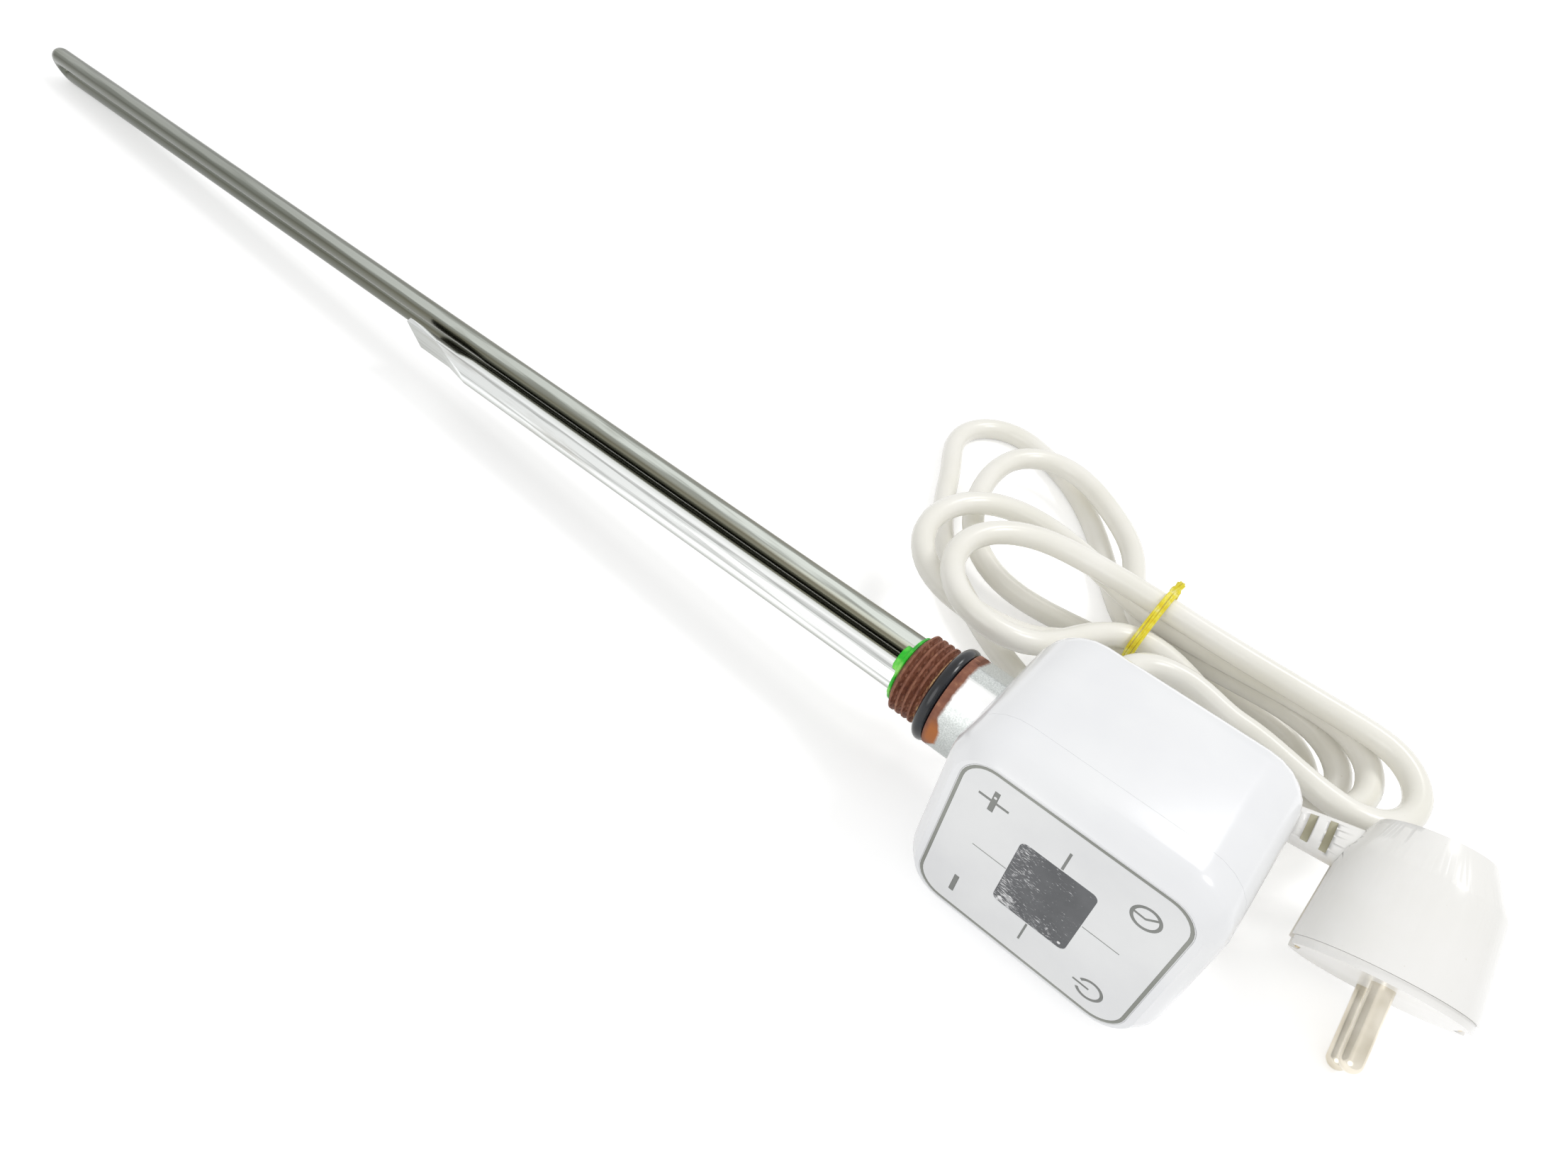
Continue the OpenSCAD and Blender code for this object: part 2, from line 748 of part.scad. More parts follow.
screw_inset = 7;
screw_rise = 7.2;
module screw_places() {
    for (x = [head_x + screw_inset, head_end_x - screw_inset], z = [-half_h + screw_rise, half_h - screw_rise])
        translate([x, 0, z]) children();
}

pillar_d = cover_screw_d + 3;
screw_head_d = cover_screw_d + 2.6;
screw_seat_y = back_y - 9;
pillar_end_y = back_y - 3.6;
module rear_housing() {
    color("white") lying() difference() {
        union() {
            difference() {
                head_form(0);
                head_form(wall);
            }
            screw_places() post(seam_y, pillar_end_y, pillar_d / 2);
            screw_places() post(screw_seat_y - 2, pillar_end_y, screw_head_d / 2 + 1.1);
        }
        block([head_x - 1, panel_y - 1, -half_h - 1], [head_end_x + 1, seam_y, half_h + 1]);
        seal_ring(seam_y - 1, seam_y + seal_groove, 0);
        rod(head_x - 1, inner_x + 1, spigot_r + part_gap);
        rod(inner_x, tag_x, nut_r + part_gap);
        post(back_y - wall - 1, back_y + 1, boot_neck_r + part_gap, gland_x, gland_z);
        screw_places() post(seam_y - 1, back_y + 1, cover_screw_d / 2 + part_gap);
        screw_places() post(screw_seat_y, back_y + 1, screw_head_d / 2 + 0.2);
    }
}

module key_places() {
    for (x = [-key_row, key_row], z = [-key_rise, key_rise])
        translate([foil_mid_x + x, 0, z]) children();
}

module front_cover() {
    color("white") lying() difference() {
        union() {
            difference() {
                head_form(0);
                head_form(wall);
            }
            screw_places() post(panel_y + 3, seam_y, pillar_d / 2);
            key_places() post(panel_y + wall - 0.5, panel_y + wall + 0.6, key_d / 2 + slide_fit + 1);
        }
        block([head_x - 1, seam_y - tube_fit, -half_h - 1], [head_end_x + 1, back_y + 1, half_h + 1]);
        rounded_plate(
            panel_y - 1, cover_face_y + 0.02, foil_length + 0.2, foil_height + 0.2, foil_r + 0.1, foil_mid_x
        );
        rounded_plate(
            panel_y - 1, panel_y + wall + 1, window_length + 0.2, window_height + 0.2, window_r + 0.1, foil_mid_x
        );
        key_places() post(panel_y - 1, panel_y + wall + 1, key_d / 2 + slide_fit);
        screw_places() post(panel_y + 3.5, seam_y + 1, cover_screw_d / 2 + tube_fit);
    }
}

module housing_seal() {
    color("gray") lying() seal_ring(seam_y, seam_y + seal_groove - tube_fit, tube_fit);
}

module cover_screws() {
    color("silver") lying() screw_places() {
        post(panel_y + 4, screw_seat_y + eps, cover_screw_d / 2);
        difference() {
            post(screw_seat_y, screw_seat_y + 2.2, screw_head_d / 2);
            for (turn = [0, 90])
                rotate([0, turn, 0])
                    block([-1.6, screw_seat_y + 1.2, -0.4], [1.6, screw_seat_y + 3, 0.4]);
        }
    }
}

module keypad_foil() {
    color("gainsboro") lying() difference() {
        rounded_plate(foil_y, foil_y + foil_thickness, foil_length, foil_height, foil_r, foil_mid_x);
        rounded_plate(foil_y - 1, foil_y + 1, window_length, window_height, window_r, foil_mid_x);
    }
}

window_thickness = 1.5;
module display_window() {
    color("dimgray") lying()
        rounded_plate(
            foil_y + tube_fit,
            foil_y + window_thickness,
            window_length - part_gap,
            window_height - part_gap,
            window_r,
            foil_mid_x
        );
}

module display_module() {
    color("black") lying() block(
        [foil_mid_x - window_length / 2 + 1, foil_y + window_thickness + part_gap, -window_height / 2 + 1],
        [foil_mid_x + window_length / 2 - 1, control_y - part_gap, window_height / 2 - 1]
    );
}

board_rise = half_h - wall - 0.6;
notch = screw_inset + pillar_d / 2 + part_gap;
module corner_notches(y0, y1, gap) {
    for (x = [[head_x, head_x + notch + gap], [head_end_x - notch - gap, head_end_x]], z = [-1, 1])
        block(
            [x[0], y0, z > 0 ? half_h - screw_rise - pillar_d / 2 - gap : -half_h],
            [x[1], y1, z > 0 ? half_h : -half_h + screw_rise + pillar_d / 2 + gap]
        );
}

module control_board() {
    color("darkgreen") lying() difference() {
        block(
            [head_x + wall + 1, control_y, -board_rise],
            [head_end_x - wall - 1, control_y + board_thickness, board_rise]
        );
        corner_notches(control_y - 1, control_y + board_thickness + 1, part_gap);
    }
}

module tact_switches() {
    color("black") lying() key_places() difference() {
        block(
            [-switch_size / 2, switch_front_y, -switch_size / 2],
            [switch_size / 2, control_y - part_gap / 2, switch_size / 2]
        );
        post(switch_front_y - 1, key_tip_y + key_travel + part_gap, stem_d / 2 + 0.15);
    }
}

chip_size = 7;
module controller_chip() {
    color("black") lying() block(
        [head_mid_x + 2, control_y + board_thickness + tube_fit, -chip_size / 2],
        [head_mid_x + 2 + chip_size, control_y + board_thickness + 1.2, chip_size / 2]
    );
}

module key(x, z) {
    color("white") lying() translate([foil_mid_x + x, 0, z]) {
        post(key_front_y, switch_front_y - key_travel - part_gap, key_d / 2);
        post(key_front_y + 1, key_tip_y, stem_d / 2);
    }
}

module key_plus() {
    key(-key_row, key_rise);
}

module key_minus() {
    key(-key_row, -key_rise);
}

module key_timer() {
    key(key_row, key_rise);
}

module key_power() {
    key(key_row, -key_rise);
}

link_x = board_x + 1;
module board_link() {
    color("black") lying() block(
        [link_x, control_y + board_thickness + tube_fit, -9],
        [link_x + 2.5, power_y - tube_fit, 9]
    );
}

board_screw_d = 2.5;
module board_screw_places() {
    for (z = [-board_half_h + 9, board_half_h - 9])
        translate([board_end_x - 3.5, 0, z]) children();
}

module power_board() {
    color("darkgreen") lying() difference() {
        block(
            [board_x, power_y, -board_half_h],
            [board_end_x, power_board_back_y, board_half_h]
        );
        board_screw_places() post(power_y - 1, power_board_back_y + 1, board_screw_d / 2 + part_gap);
        corner_notches(power_y - 1, power_board_back_y + 1, part_gap);
    }
}

module board_screws() {
    color("silver") lying() board_screw_places() {
        post(power_y - 1.6, power_board_back_y + 6, board_screw_d / 2);
        post(power_y - 1.6, power_y - tube_fit, board_screw_d);
    }
}

part_y = power_board_back_y + tube_fit;
relay_x = board_x + 1;
relay_length = 15;
relay_z = 3;
relay_width = 12;
module relay() {
    color("royalblue") lying() translate([relay_x, part_y, relay_z])
        cube([relay_length, relay_height, relay_width]);
}

capacitor_z = -16.5;
capacitor_width = 5.5;
capacitor_height = 9;
module film_capacitor() {
    color("gold") lying() translate([relay_x, part_y, capacitor_z])
        cube([relay_length, capacitor_height, capacitor_width]);
}

power_module_x = relay_x + relay_length + 1.5;
power_module_length = 9.5;
power_module_z = -4;
power_module_width = 12;
power_module_height = 11;
module power_module() {
    color("black") lying() translate([power_module_x, part_y, power_module_z])
        cube([power_module_length, power_module_height, power_module_width]);
}

board_fuse_length = 7.5;
board_fuse_r = 4;
board_fuse_z = -12.5;
board_fuse_x = board_end_x - 9;
module board_fuse() {
    color("lightgray") lying() post(part_y, part_y + board_fuse_length, board_fuse_r, board_fuse_x, board_fuse_z);
}

block_x = relay_x + 1;
block_top_y = part_y + 10;
block_hole_y = part_y + 5;
block_mid_z = -4;
block_pitch = 2.7;
wire_r = 0.9;
module terminal_block() {
    color("green") lying() difference() {
        block([block_x, part_y, -9.5], [block_x + 9, block_top_y, 1.5]);
        for (i = [-1, 1])
            rod(block_x - 1, block_x + 6, wire_r + 0.4, block_hole_y, block_mid_z + i * block_pitch);
    }
}

spade_end_x = seal_end_x + 0.5 + spade_length;
module element_wires() {
    color("saddlebrown") lying() for (side = [-1, 1])
        let (
            leg = [
                hairpin_y - side * bend_r * sin(leg_roll),
                hairpin_z + side * bend_r * cos(leg_roll)
            ]
        )
        {
            hull() {
                translate([spade_end_x + wire_r + 0.1, leg.x, leg.y]) sphere(r = wire_r, $fn = 16);
                translate([block_x - 1, block_hole_y, block_mid_z + side * block_pitch]) sphere(r = wire_r, $fn = 16);
            }
            rod(block_x - 1, block_x + 5, wire_r, block_hole_y, block_mid_z + side * block_pitch);
        }
}

module earth_wire() {
    color("yellowgreen") lying()
        rod(tag_x + tag_thickness + part_gap, gland_x - boot_neck_r - part_gap, wire_r, spigot_r + 2.4, gland_z);
}

boot_neck_r = cord_r + 0.8;
lock_y = back_y - wall - part_gap;
lock_thickness = 2.2;
neck_end_y = lock_y - lock_thickness - 1;
wire_reach = 3.5;
module supply_wires() {
    color("sienna") lying() for (i = [-1, 0, 1])
        post(neck_end_y - wire_reach, neck_end_y - tube_fit, wire_r, gland_x + i * 2.1, gland_z);
}

module cord_boot() {
    color("white") lying() {
        translate([gland_x, back_y + tube_fit, gland_z]) rotate([-90, 0, 0])
            cylinder(h = boot_length - tube_fit, d1 = boot_d, d2 = cord_d + 2.2);
        post(neck_end_y, back_y + 1, boot_neck_r, gland_x, gland_z);
    }
}

module boot_lock() {
    color("gray") lying() difference() {
        post(lock_y - lock_thickness, lock_y, boot_neck_r + 1.5, gland_x, gland_z);
        post(lock_y - lock_thickness - 1, lock_y + 1, boot_neck_r + tube_fit, gland_x, gland_z);
    }
}

module cord_lead() {
    color("white") swept_tube(lead_path, cord_r, 8);
}

module cord_hank() {
    color("white") swept_tube(hank_path, cord_r, cord_sides);
}

module cord_tail() {
    color("white") swept_tube(tail_path, cord_r, 8);
}

tie_width = 2.4;
// Where the hank's strands pass, just before and just after the tie: one of them crosses it aslant
tie_slant = 1.2;
tie_half = tie_width / 2 + tie_slant;
tie_strands = [
    for (x = [tie_x - tie_half, tie_x + tie_half], i = [1 : len(fine_path) - 1])
        let (p = fine_path[i - 1], q = fine_path[i])
            if ((p.x - x) * (q.x - x) <= 0) p + (q - p) * (x - p.x) / (q.x - p.x)
];
module strand_hull(r) {
    hull() for (p = tie_strands) translate([p.z, p.y]) circle(r = r, $fn = 32);
}
module hank_tie() {
    color("yellow") translate([tie_x, 0, 0]) rotate([0, -90, 0])
        linear_extrude(tie_width, center = true) difference() {
            strand_hull(cord_r + tie_clear + tie_thickness);
            strand_hull(cord_r + tie_clear);
        }
}

dome_depth = 10;
module plug_body() {
    color("white") plug_lying() difference() {
        union() {
            translate([0, 0, face_thickness + tube_fit])
                cylinder(h = plug_depth - dome_depth - face_thickness, r1 = plug_r, r2 = plug_r - 2);
            translate([0, 0, plug_depth - dome_depth + tube_fit - eps])
                cylinder(h = dome_depth, r1 = plug_r - 2, r2 = plug_r - 7);
        }
        for (side = [-1, 1])
            block([side * plug_r - 3, -3.5, -1], [side * plug_r + 3, 3.5, plug_depth + 1]);
        translate([-plug_r - 1, 0, relief_z]) rotate([0, 90, 0]) cylinder(h = 8, d = relief_d + 0.4);
        for (side = [-1, 1])
            translate([0, side * plug_pin_pitch / 2, 0]) cylinder(h = shank_length + 1, r = shank_r + tube_fit);
    }
}

module plug_face() {
    color("white") plug_lying() difference() {
        cylinder(h = face_thickness, r = plug_r - 0.6);
        for (side = [-1, 1])
            block([side * plug_r - 3, -3.5, -1], [side * plug_r + 3, 3.5, plug_depth + 1]);
        for (side = [-1, 1])
            translate([0, side * plug_pin_pitch / 2, -1]) cylinder(h = shank_length, r = shank_r + tube_fit);
    }
}

relief_slots = 3;
slot_pitch = 4.2;
module plug_relief() {
    color("white") plug_lying() difference() {
        translate([-relief_start_x + 1.5, 0, relief_z]) rotate([0, -90, 0])
            cylinder(h = relief_length + 1.5, d1 = relief_d, d2 = cord_d + 1.6);
        for (i = [0 : relief_slots - 1], side = [-1, 1])
            translate([-relief_start_x - 5 - i * slot_pitch, side * 5.2, relief_z])
                cube([1.6, 3.6, 9], center = true);
    }
}

// Round-ended pins, each with a shoulder on the plug's face and a thinner shank inside
module plug_pins() {
    color("tan") plug_lying() for (side = [-1, 1]) translate([0, side * plug_pin_pitch / 2, 0]) {
        translate([0, 0, -pin_wall_length]) cylinder(h = pin_wall_length, r = plug_pin_r);
        translate([0, 0, -eps]) cylinder(h = shank_length + eps, r = shank_r);
        translate([0, 0, -pin_wall_length]) rotate_extrude() intersection() {
            circle(r = plug_pin_r);
            translate([0, -plug_pin_r]) square([plug_pin_r, plug_pin_r + eps]);
        }
    }
}

clip_thickness = 0.8;
module earth_clips() {
    color("silver") plug_lying() for (side = [-1, 1])
        block(
            [side * (plug_r - 2.6) - clip_thickness / 2, -2.6, 0.3],
            [side * (plug_r - 2.6) + clip_thickness / 2, 2.6, relief_z - relief_d / 2 - part_gap]
        );
}

heating_tube();
magnesia_core();
resistance_coil();
terminal_pins();
end_seals();
spade_terminals();
sensor_tube();
insulating_sleeve();
temperature_probe();
thermal_fuse();
sensor_wires();
threaded_plug();
o_ring();
sealant();
retaining_nut();
earth_tag();
rear_housing();
front_cover();
housing_seal();
cover_screws();
keypad_foil();
display_window();
display_module();
control_board();
tact_switches();
controller_chip();
key_plus();
key_minus();
key_timer();
key_power();
board_link();
power_board();
board_screws();
relay();
film_capacitor();
power_module();
board_fuse();
terminal_block();
element_wires();
earth_wire();
supply_wires();
cord_boot();
boot_lock();
cord_lead();
cord_hank();
cord_tail();
hank_tie();
plug_body();
plug_face();
plug_relief();
plug_pins();
earth_clips();
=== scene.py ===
import math

import bpy
from mathutils import Matrix, Vector


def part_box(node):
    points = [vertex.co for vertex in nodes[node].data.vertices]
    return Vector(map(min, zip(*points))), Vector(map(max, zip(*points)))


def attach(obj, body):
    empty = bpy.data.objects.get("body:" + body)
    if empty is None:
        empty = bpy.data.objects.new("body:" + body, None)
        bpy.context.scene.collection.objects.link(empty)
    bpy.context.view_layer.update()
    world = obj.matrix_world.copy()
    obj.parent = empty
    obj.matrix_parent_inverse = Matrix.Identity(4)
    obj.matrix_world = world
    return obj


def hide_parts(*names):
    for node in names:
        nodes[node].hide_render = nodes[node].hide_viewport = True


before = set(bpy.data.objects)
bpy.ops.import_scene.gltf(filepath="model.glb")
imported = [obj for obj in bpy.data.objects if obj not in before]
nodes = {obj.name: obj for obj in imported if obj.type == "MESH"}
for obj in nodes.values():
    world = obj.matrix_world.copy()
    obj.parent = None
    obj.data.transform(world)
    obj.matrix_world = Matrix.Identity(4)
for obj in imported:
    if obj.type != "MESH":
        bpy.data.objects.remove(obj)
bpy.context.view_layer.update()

MM = 0.001

# How the object lies: the element's axis rises towards the head
LIE = math.radians(2.8038)
FLOOR_Z = -26.3599
LYING = Matrix.Rotation(-LIE, 4, "Y")


def lain(x, y, z):
    return LYING @ Vector((x, y, z))


# Camera, fitted to the photo by the thread's size
camera_data = bpy.data.cameras.new("camera")
camera_data.sensor_width = 36
camera_data.lens = 24.351
camera_data.clip_start = 0.01
camera_data.clip_end = 50
camera = bpy.data.objects.new("camera", camera_data)
bpy.context.scene.collection.objects.link(camera)
right = Vector((0.745927, 0.639576, 0.185839))
up = Vector((-0.567603, 0.464465, 0.679778))
back = Vector((0.348454, -0.612548, 0.709482))
turn = Matrix((right, up, back)).transposed().to_4x4()
camera.matrix_world = Matrix.Translation((0.050426, -0.167073, 0.188859)) @ turn
bpy.context.scene.camera = camera

# The lead's route: straight out of the boot, the hank's loops by formula, and the tail to the plug
CORD_D = 6.8
CORD_R = CORD_D / 2
LAYER_GAP = 0.45
LAYER_STEP = CORD_D + LAYER_GAP
BOTTOM_LAYER = 3
TIE_X = 30
TIE_HALF = 2.4
TIE_LIFT = 1.6
WAIST_Y = 69
WAIST_LEAN = 2.6
WAIST_HALF = 3.7
FOLD_R = 15
SWELL = 1.1
GLAND = lain(33.1, 18.2, 0.5)
BOOT_END_Y = 38.2
PLUG_AT = Vector((114.5, 13.4, -7.17641))
PLUG_TURN = (
    Matrix.Rotation(math.radians(4), 4, "Z")
    @ Matrix.Rotation(math.radians(-12), 4, "Y")
    @ Matrix.Rotation(math.radians(-56), 4, "X")
)
PLUG_PLACE = Matrix.Translation(PLUG_AT) @ PLUG_TURN
TAIL_END = PLUG_PLACE @ Vector((-31, 0, 25))
TAIL_DIR = (PLUG_TURN @ Vector((1, 0, 0))).normalized()


def layer_z(k):
    lift = TIE_LIFT if k < BOTTOM_LAYER else 0
    return FLOOR_Z + CORD_R + LAYER_STEP * (BOTTOM_LAYER - k) + lift


def waist(side, k, way):
    """The two points where layer k passes under the tie, on one side of the waist, along x or against it."""
    z = max(layer_z(k), FLOOR_Z + CORD_R + TIE_LIFT)
    return [(TIE_X + i * 8, WAIST_Y + WAIST_LEAN * k + side * WAIST_HALF, z) for i in (-way, way)]


def fold(cx, cy, r, z, steps):
    """The points of a loop's round end, at steps of 22.5 degrees."""
    turns = [math.radians(22.5 * i) for i in steps]
    return [(cx + r * SWELL * math.cos(a), cy + r * SWELL * math.sin(a), z) for a in turns]


def straight(at, angle):
    step = Vector((math.cos(math.radians(angle)), math.sin(math.radians(angle)), 0))
    return [at + step * i * CORD_D for i in (-1, 0, 1)], step


def hank_controls():
    top, second, third, ground = (layer_z(k) for k in range(4))
    drop = third - 0.6
    right = (-3, -1, 1, 3)
    left = (5, 7, 9, 11)
    first, way_in = straight(Vector((62, 50, top)), 0)
    last, way_out = straight(Vector((-44, 84, ground)), -60)
    points = first + [(83, 46.5, top)] + fold(90, 61, FOLD_R, top, right)
    points += [(83, 75.5, top), (56, 73.5, top)] + waist(1, 0, -1)
    points += [(5, 71, top)] + fold(-1, 48, FOLD_R + 5, top, left)
    points += [(5, 28, -0.5), (14, 36, -2.5), (18, 49, -5), (24, 62, -6.8)]
    points += [waist(-1, 1, 1)[1], (72, 49, second)] + fold(78, 64, FOLD_R + 3, second, right)
    points += [(66, 80, second)] + waist(1, 1, -1) + [(4, 82, second)]
    points += fold(-12, 60, FOLD_R + 9, second, left + (13,)) + [(10, 46, -12), (19, 61, -13.8)]
    points += [waist(-1, 2, 1)[1], (67, 51, third)] + fold(73, 66, FOLD_R + 3, third, right)
    points += [(61, 83, third)] + waist(1, 2, -1) + [(14, 105, drop), (-3, 118, drop)]
    points += fold(-21, 107, FOLD_R + 3, drop, (4, 6, 8))
    points += [(-36, 84, drop), (-25, 68, -17), (-6, 64, -21)] + waist(-1, 3, 1)
    points += [(62, 53, ground)] + fold(68, 68, FOLD_R + 3, ground, right)
    points += [(56, 85, ground)] + waist(1, 3, -1) + [(0, 112, ground), (-18, 128, ground)]
    points += fold(-45, 121, FOLD_R + 1, ground, (3, 5, 7, 9)) + [(-53, 102, ground)] + last
    return [Vector(p) for p in points], way_in, way_out


def spline_at(c, i, t):
    return (
        c[i] * (1 - t) ** 3
        + c[i + 1] * (3 * t**3 - 6 * t**2 + 4)
        + c[i + 2] * (3 * t + 3 * t**2 - 3 * t**3 + 1)
        + c[i + 3] * t**3
    ) / 6


def spline(c, n):
    path = [spline_at(c, i, j / n) for i in range(len(c) - 3) for j in range(n)]
    return path + [spline_at(c, len(c) - 4, 1)]


def through(p, d0, d1, n):
    """A smooth line through the points p, leaving along d0 and arriving along d1."""
    dirs = [d0] + [(p[i + 1] - p[i - 1]).normalized() for i in range(1, len(p) - 1)] + [d1]
    path = []
    for i in range(len(p) - 1):
        reach = (p[i + 1] - p[i]).length
        for j in range(n):
            t = j / n
            path.append(
                p[i] * (2 * t**3 - 3 * t**2 + 1)
                + dirs[i] * reach * (t**3 - 2 * t**2 + t)
                + p[i + 1] * (3 * t**2 - 2 * t**3)
                + dirs[i + 1] * reach * (t**3 - t**2)
            )
    return path + [p[-1]]


controls, way_in, way_out = hank_controls()
hank = spline(controls, 6)
lead_knots = [(GLAND.x, BOOT_END_Y, GLAND.z), (37, 48, 1.5), (47, 52, 0.8)]
tail_knots = [(-32, 67, -22.5), (-14, 52, -21), (8, 41, -21), (30, 36, -21), (42, 34.5, -18.4)]
tail_knots += [(55, 34, -11.5), (67, 33, -2)]
lead = through([Vector(k) for k in lead_knots] + [hank[0]], Vector((0, 1, 0)), way_in, 12)
tail = through([hank[-1]] + [Vector(k) for k in tail_knots] + [TAIL_END], way_out, TAIL_DIR, 12)
route = lead[:-1] + hank[:-1] + tail
# The visible line starts just inside the boot and ends inside the plug's relief
route = [Vector((GLAND.x, BOOT_END_Y - 6, GLAND.z))] + route + [TAIL_END + TAIL_DIR * 3]
route = [p * MM for p in route]


def curve_tube(name, path, radius, sides, cyclic=False):
    data = bpy.data.curves.new(name, "CURVE")
    data.dimensions = "3D"
    data.bevel_depth = radius
    data.bevel_resolution = max(0, sides // 4 - 1)
    data.use_fill_caps = True
    line = data.splines.new("POLY")
    line.points.add(len(path) - 1)
    for point, place in zip(line.points, path):
        point.co = (*place, 1)
    line.use_cyclic_u = cyclic
    obj = bpy.data.objects.new(name, data)
    bpy.context.scene.collection.objects.link(obj)
    return obj


mains_lead = curve_tube("mains_lead", route, CORD_R * MM, 24)


# Materials
def rgb(text, alpha=1.0):
    """An sRGB hex colour as Blender's linear one."""
    parts = [int(text[i : i + 2], 16) / 255 for i in (0, 2, 4)]
    return tuple(c / 12.92 if c <= 0.04045 else ((c + 0.055) / 1.055) ** 2.4 for c in parts) + (alpha,)


def add(material, kind, links=(), **settings):
    """One node with its settings; links is a list of (this node's input, other node, its output).

    A setting in_3 is the value of input 3, and in_Scale that of the input Scale.
    """
    node = material.node_tree.nodes.new("ShaderNode" + kind)
    for key, value in settings.items():
        if key.startswith("in_"):
            name = key[3:]
            index = int(name) if name.isdigit() else name.replace("_", " ")
            node.inputs[index].default_value = value
        else:
            setattr(node, key, value)
    for target, other, output in links:
        material.node_tree.links.new(other.outputs[output], node.inputs[target])
    return node


def ramp(material, source, output, stops):
    """A colour ramp on a value; stops is a list of (position, hex)."""
    node = add(material, "ValToRGB", [(0, source, output)])
    band = node.color_ramp
    while len(band.elements) < len(stops):
        band.elements.new(0.5)
    for element, (place, colour) in zip(band.elements, stops):
        element.position = place
        element.color = rgb(colour)
    return node


def surface(name, **settings):
    """A new material with its shader, and the object's own coordinates."""
    material = bpy.data.materials.new(name)
    material.use_nodes = True
    shader = material.node_tree.nodes["Principled BSDF"]
    for key, value in settings.items():
        shader.inputs[key.replace("_", " ")].default_value = value
    place = add(material, "TexCoord")
    return material, shader, place


def stretched(material, place, scale):
    return add(material, "Mapping", [("Vector", place, "Object")], in_Scale=scale)


def noise(material, where, output, per_metre, detail=3.0, rough=0.5):
    return add(
        material, "TexNoise", [("Vector", where, output)],
        in_Scale=per_metre, in_Detail=detail, in_Roughness=rough,
    )


def bump(material, shader, source, output, height_mm, strength=1.0):
    node = add(
        material, "Bump", [("Height", source, output)], in_Strength=strength, in_Distance=height_mm * MM
    )
    material.node_tree.links.new(node.outputs["Normal"], shader.inputs["Normal"])
    return node


def link(material, source, output, target, name):
    material.node_tree.links.new(source.outputs[output], target.inputs[name])


def moulded(name, colour, shade, rough, grain_mm=0.25, depth_mm=0.01, coat=0.0, spots=None):
    """A moulded plastic: a slow drift of colour, a fine skin from the mould, and faint handling marks."""
    material, shader, place = surface(name, Roughness=rough, Coat_Weight=coat, IOR=1.5)
    slow = noise(material, place, "Object", 40, 4)
    tint = ramp(material, slow, "Fac", [(0.35, shade), (0.65, colour)])
    if spots:
        dirt = noise(material, place, "Object", 700, 2, 0.7)
        mask = ramp(material, dirt, "Fac", [(0.74, "000000"), (0.8, "ffffff")])
        tint = add(
            material, "Mix", [(0, mask, "Color"), (6, tint, "Color")], data_type="RGBA", in_7=rgb(spots)
        )
        link(material, tint, "Result", shader, "Base Color")
    else:
        link(material, tint, "Color", shader, "Base Color")
    fine = noise(material, place, "Object", 1 / (grain_mm * MM), 2)
    rubbed = noise(material, place, "Object", 160, 5, 0.65)
    scuff = ramp(material, rubbed, "Fac", [(0.3, "303030"), (0.75, "606060")])
    level = add(material, "MapRange", [(0, scuff, "Color")], in_3=rough - 0.06, in_4=rough + 0.1)
    link(material, level, "Result", shader, "Roughness")
    bump(material, shader, fine, "Fac", depth_mm)
    return material


def drawn_steel(name, toward, bands, bright, rough, stain):
    """Drawn tube: painted reflections in bands and fine lines along the axis, laid by the surface's
    direction, stains in patches, the painted reflections brighter towards the thread.

    A band's place is the cosine between the surface's normal and the direction toward. The colours
    in bright hold near the thread and those in bands at the tip.
    """
    material, shader, place = surface(name, Metallic=1.0)
    lines = noise(material, stretched(material, place, (1.5, 420, 420)), "Vector", 1.0, 3, 0.6)
    # The bands are painted reflections and painted shade, laid by the surface's direction
    side = add(material, "VectorMath", [(0, place, "Normal")], operation="DOT_PRODUCT", in_1=toward)
    wander = add(material, "MapRange", [(0, lines, "Fac")], in_1=0.3, in_2=0.7, in_3=-0.06, in_4=0.06)
    reflection_place = add(material, "Math", [(0, side, "Value"), (1, wander, "Result")], operation="ADD")
    tint = ramp(material, reflection_place, "Value", bands)
    near_thread_reflections = ramp(material, reflection_place, "Value", bright)
    where = add(material, "SeparateXYZ", [(0, place, "Object")])
    # Near the thread the painted reflections turn brighter
    cool = add(material, "MapRange", [(0, where, "X")], in_1=-0.30, in_2=-0.04)
    tint = add(
        material, "Mix", [(0, cool, "Result"), (6, tint, "Color"), (7, near_thread_reflections, "Color")], data_type="RGBA"
    )
    patch = noise(material, stretched(material, place, (22, 230, 230)), "Vector", 1.0, 4, 0.6)
    mask = ramp(material, patch, "Fac", [(0.58, "000000"), (0.72, "a0a0a0")])
    tint = add(
        material, "Mix", [(0, mask, "Color"), (6, tint, "Result")], data_type="RGBA", in_7=rgb(stain)
    )
    link(material, tint, "Result", shader, "Base Color")
    grain = noise(material, stretched(material, place, (12, 1400, 1400)), "Vector", 1.0, 3, 0.6)
    level = add(material, "MapRange", [(0, grain, "Fac")], in_3=rough - 0.06, in_4=rough + 0.1)
    link(material, level, "Result", shader, "Roughness")
    bump(material, shader, grain, "Fac", 0.02, 0.5)
    return material


# Annealed stainless sheath: grey, with painted reflections in bands along it, set by the surface's direction:
# a dark olive band and a paler band
sheath_steel = drawn_steel(
    "annealed_stainless", (0, -0.342, 0.940),
    [(0.3, "6d7068"), (0.72, "55574c"), (0.91, "797c74"), (0.975, "9b9e97")],
    [(0.3, "77766a"), (0.72, "6f6c5c"), (0.92, "9b9e96"), (0.975, "dde2db")],
    rough=0.22, stain="59573f",
)
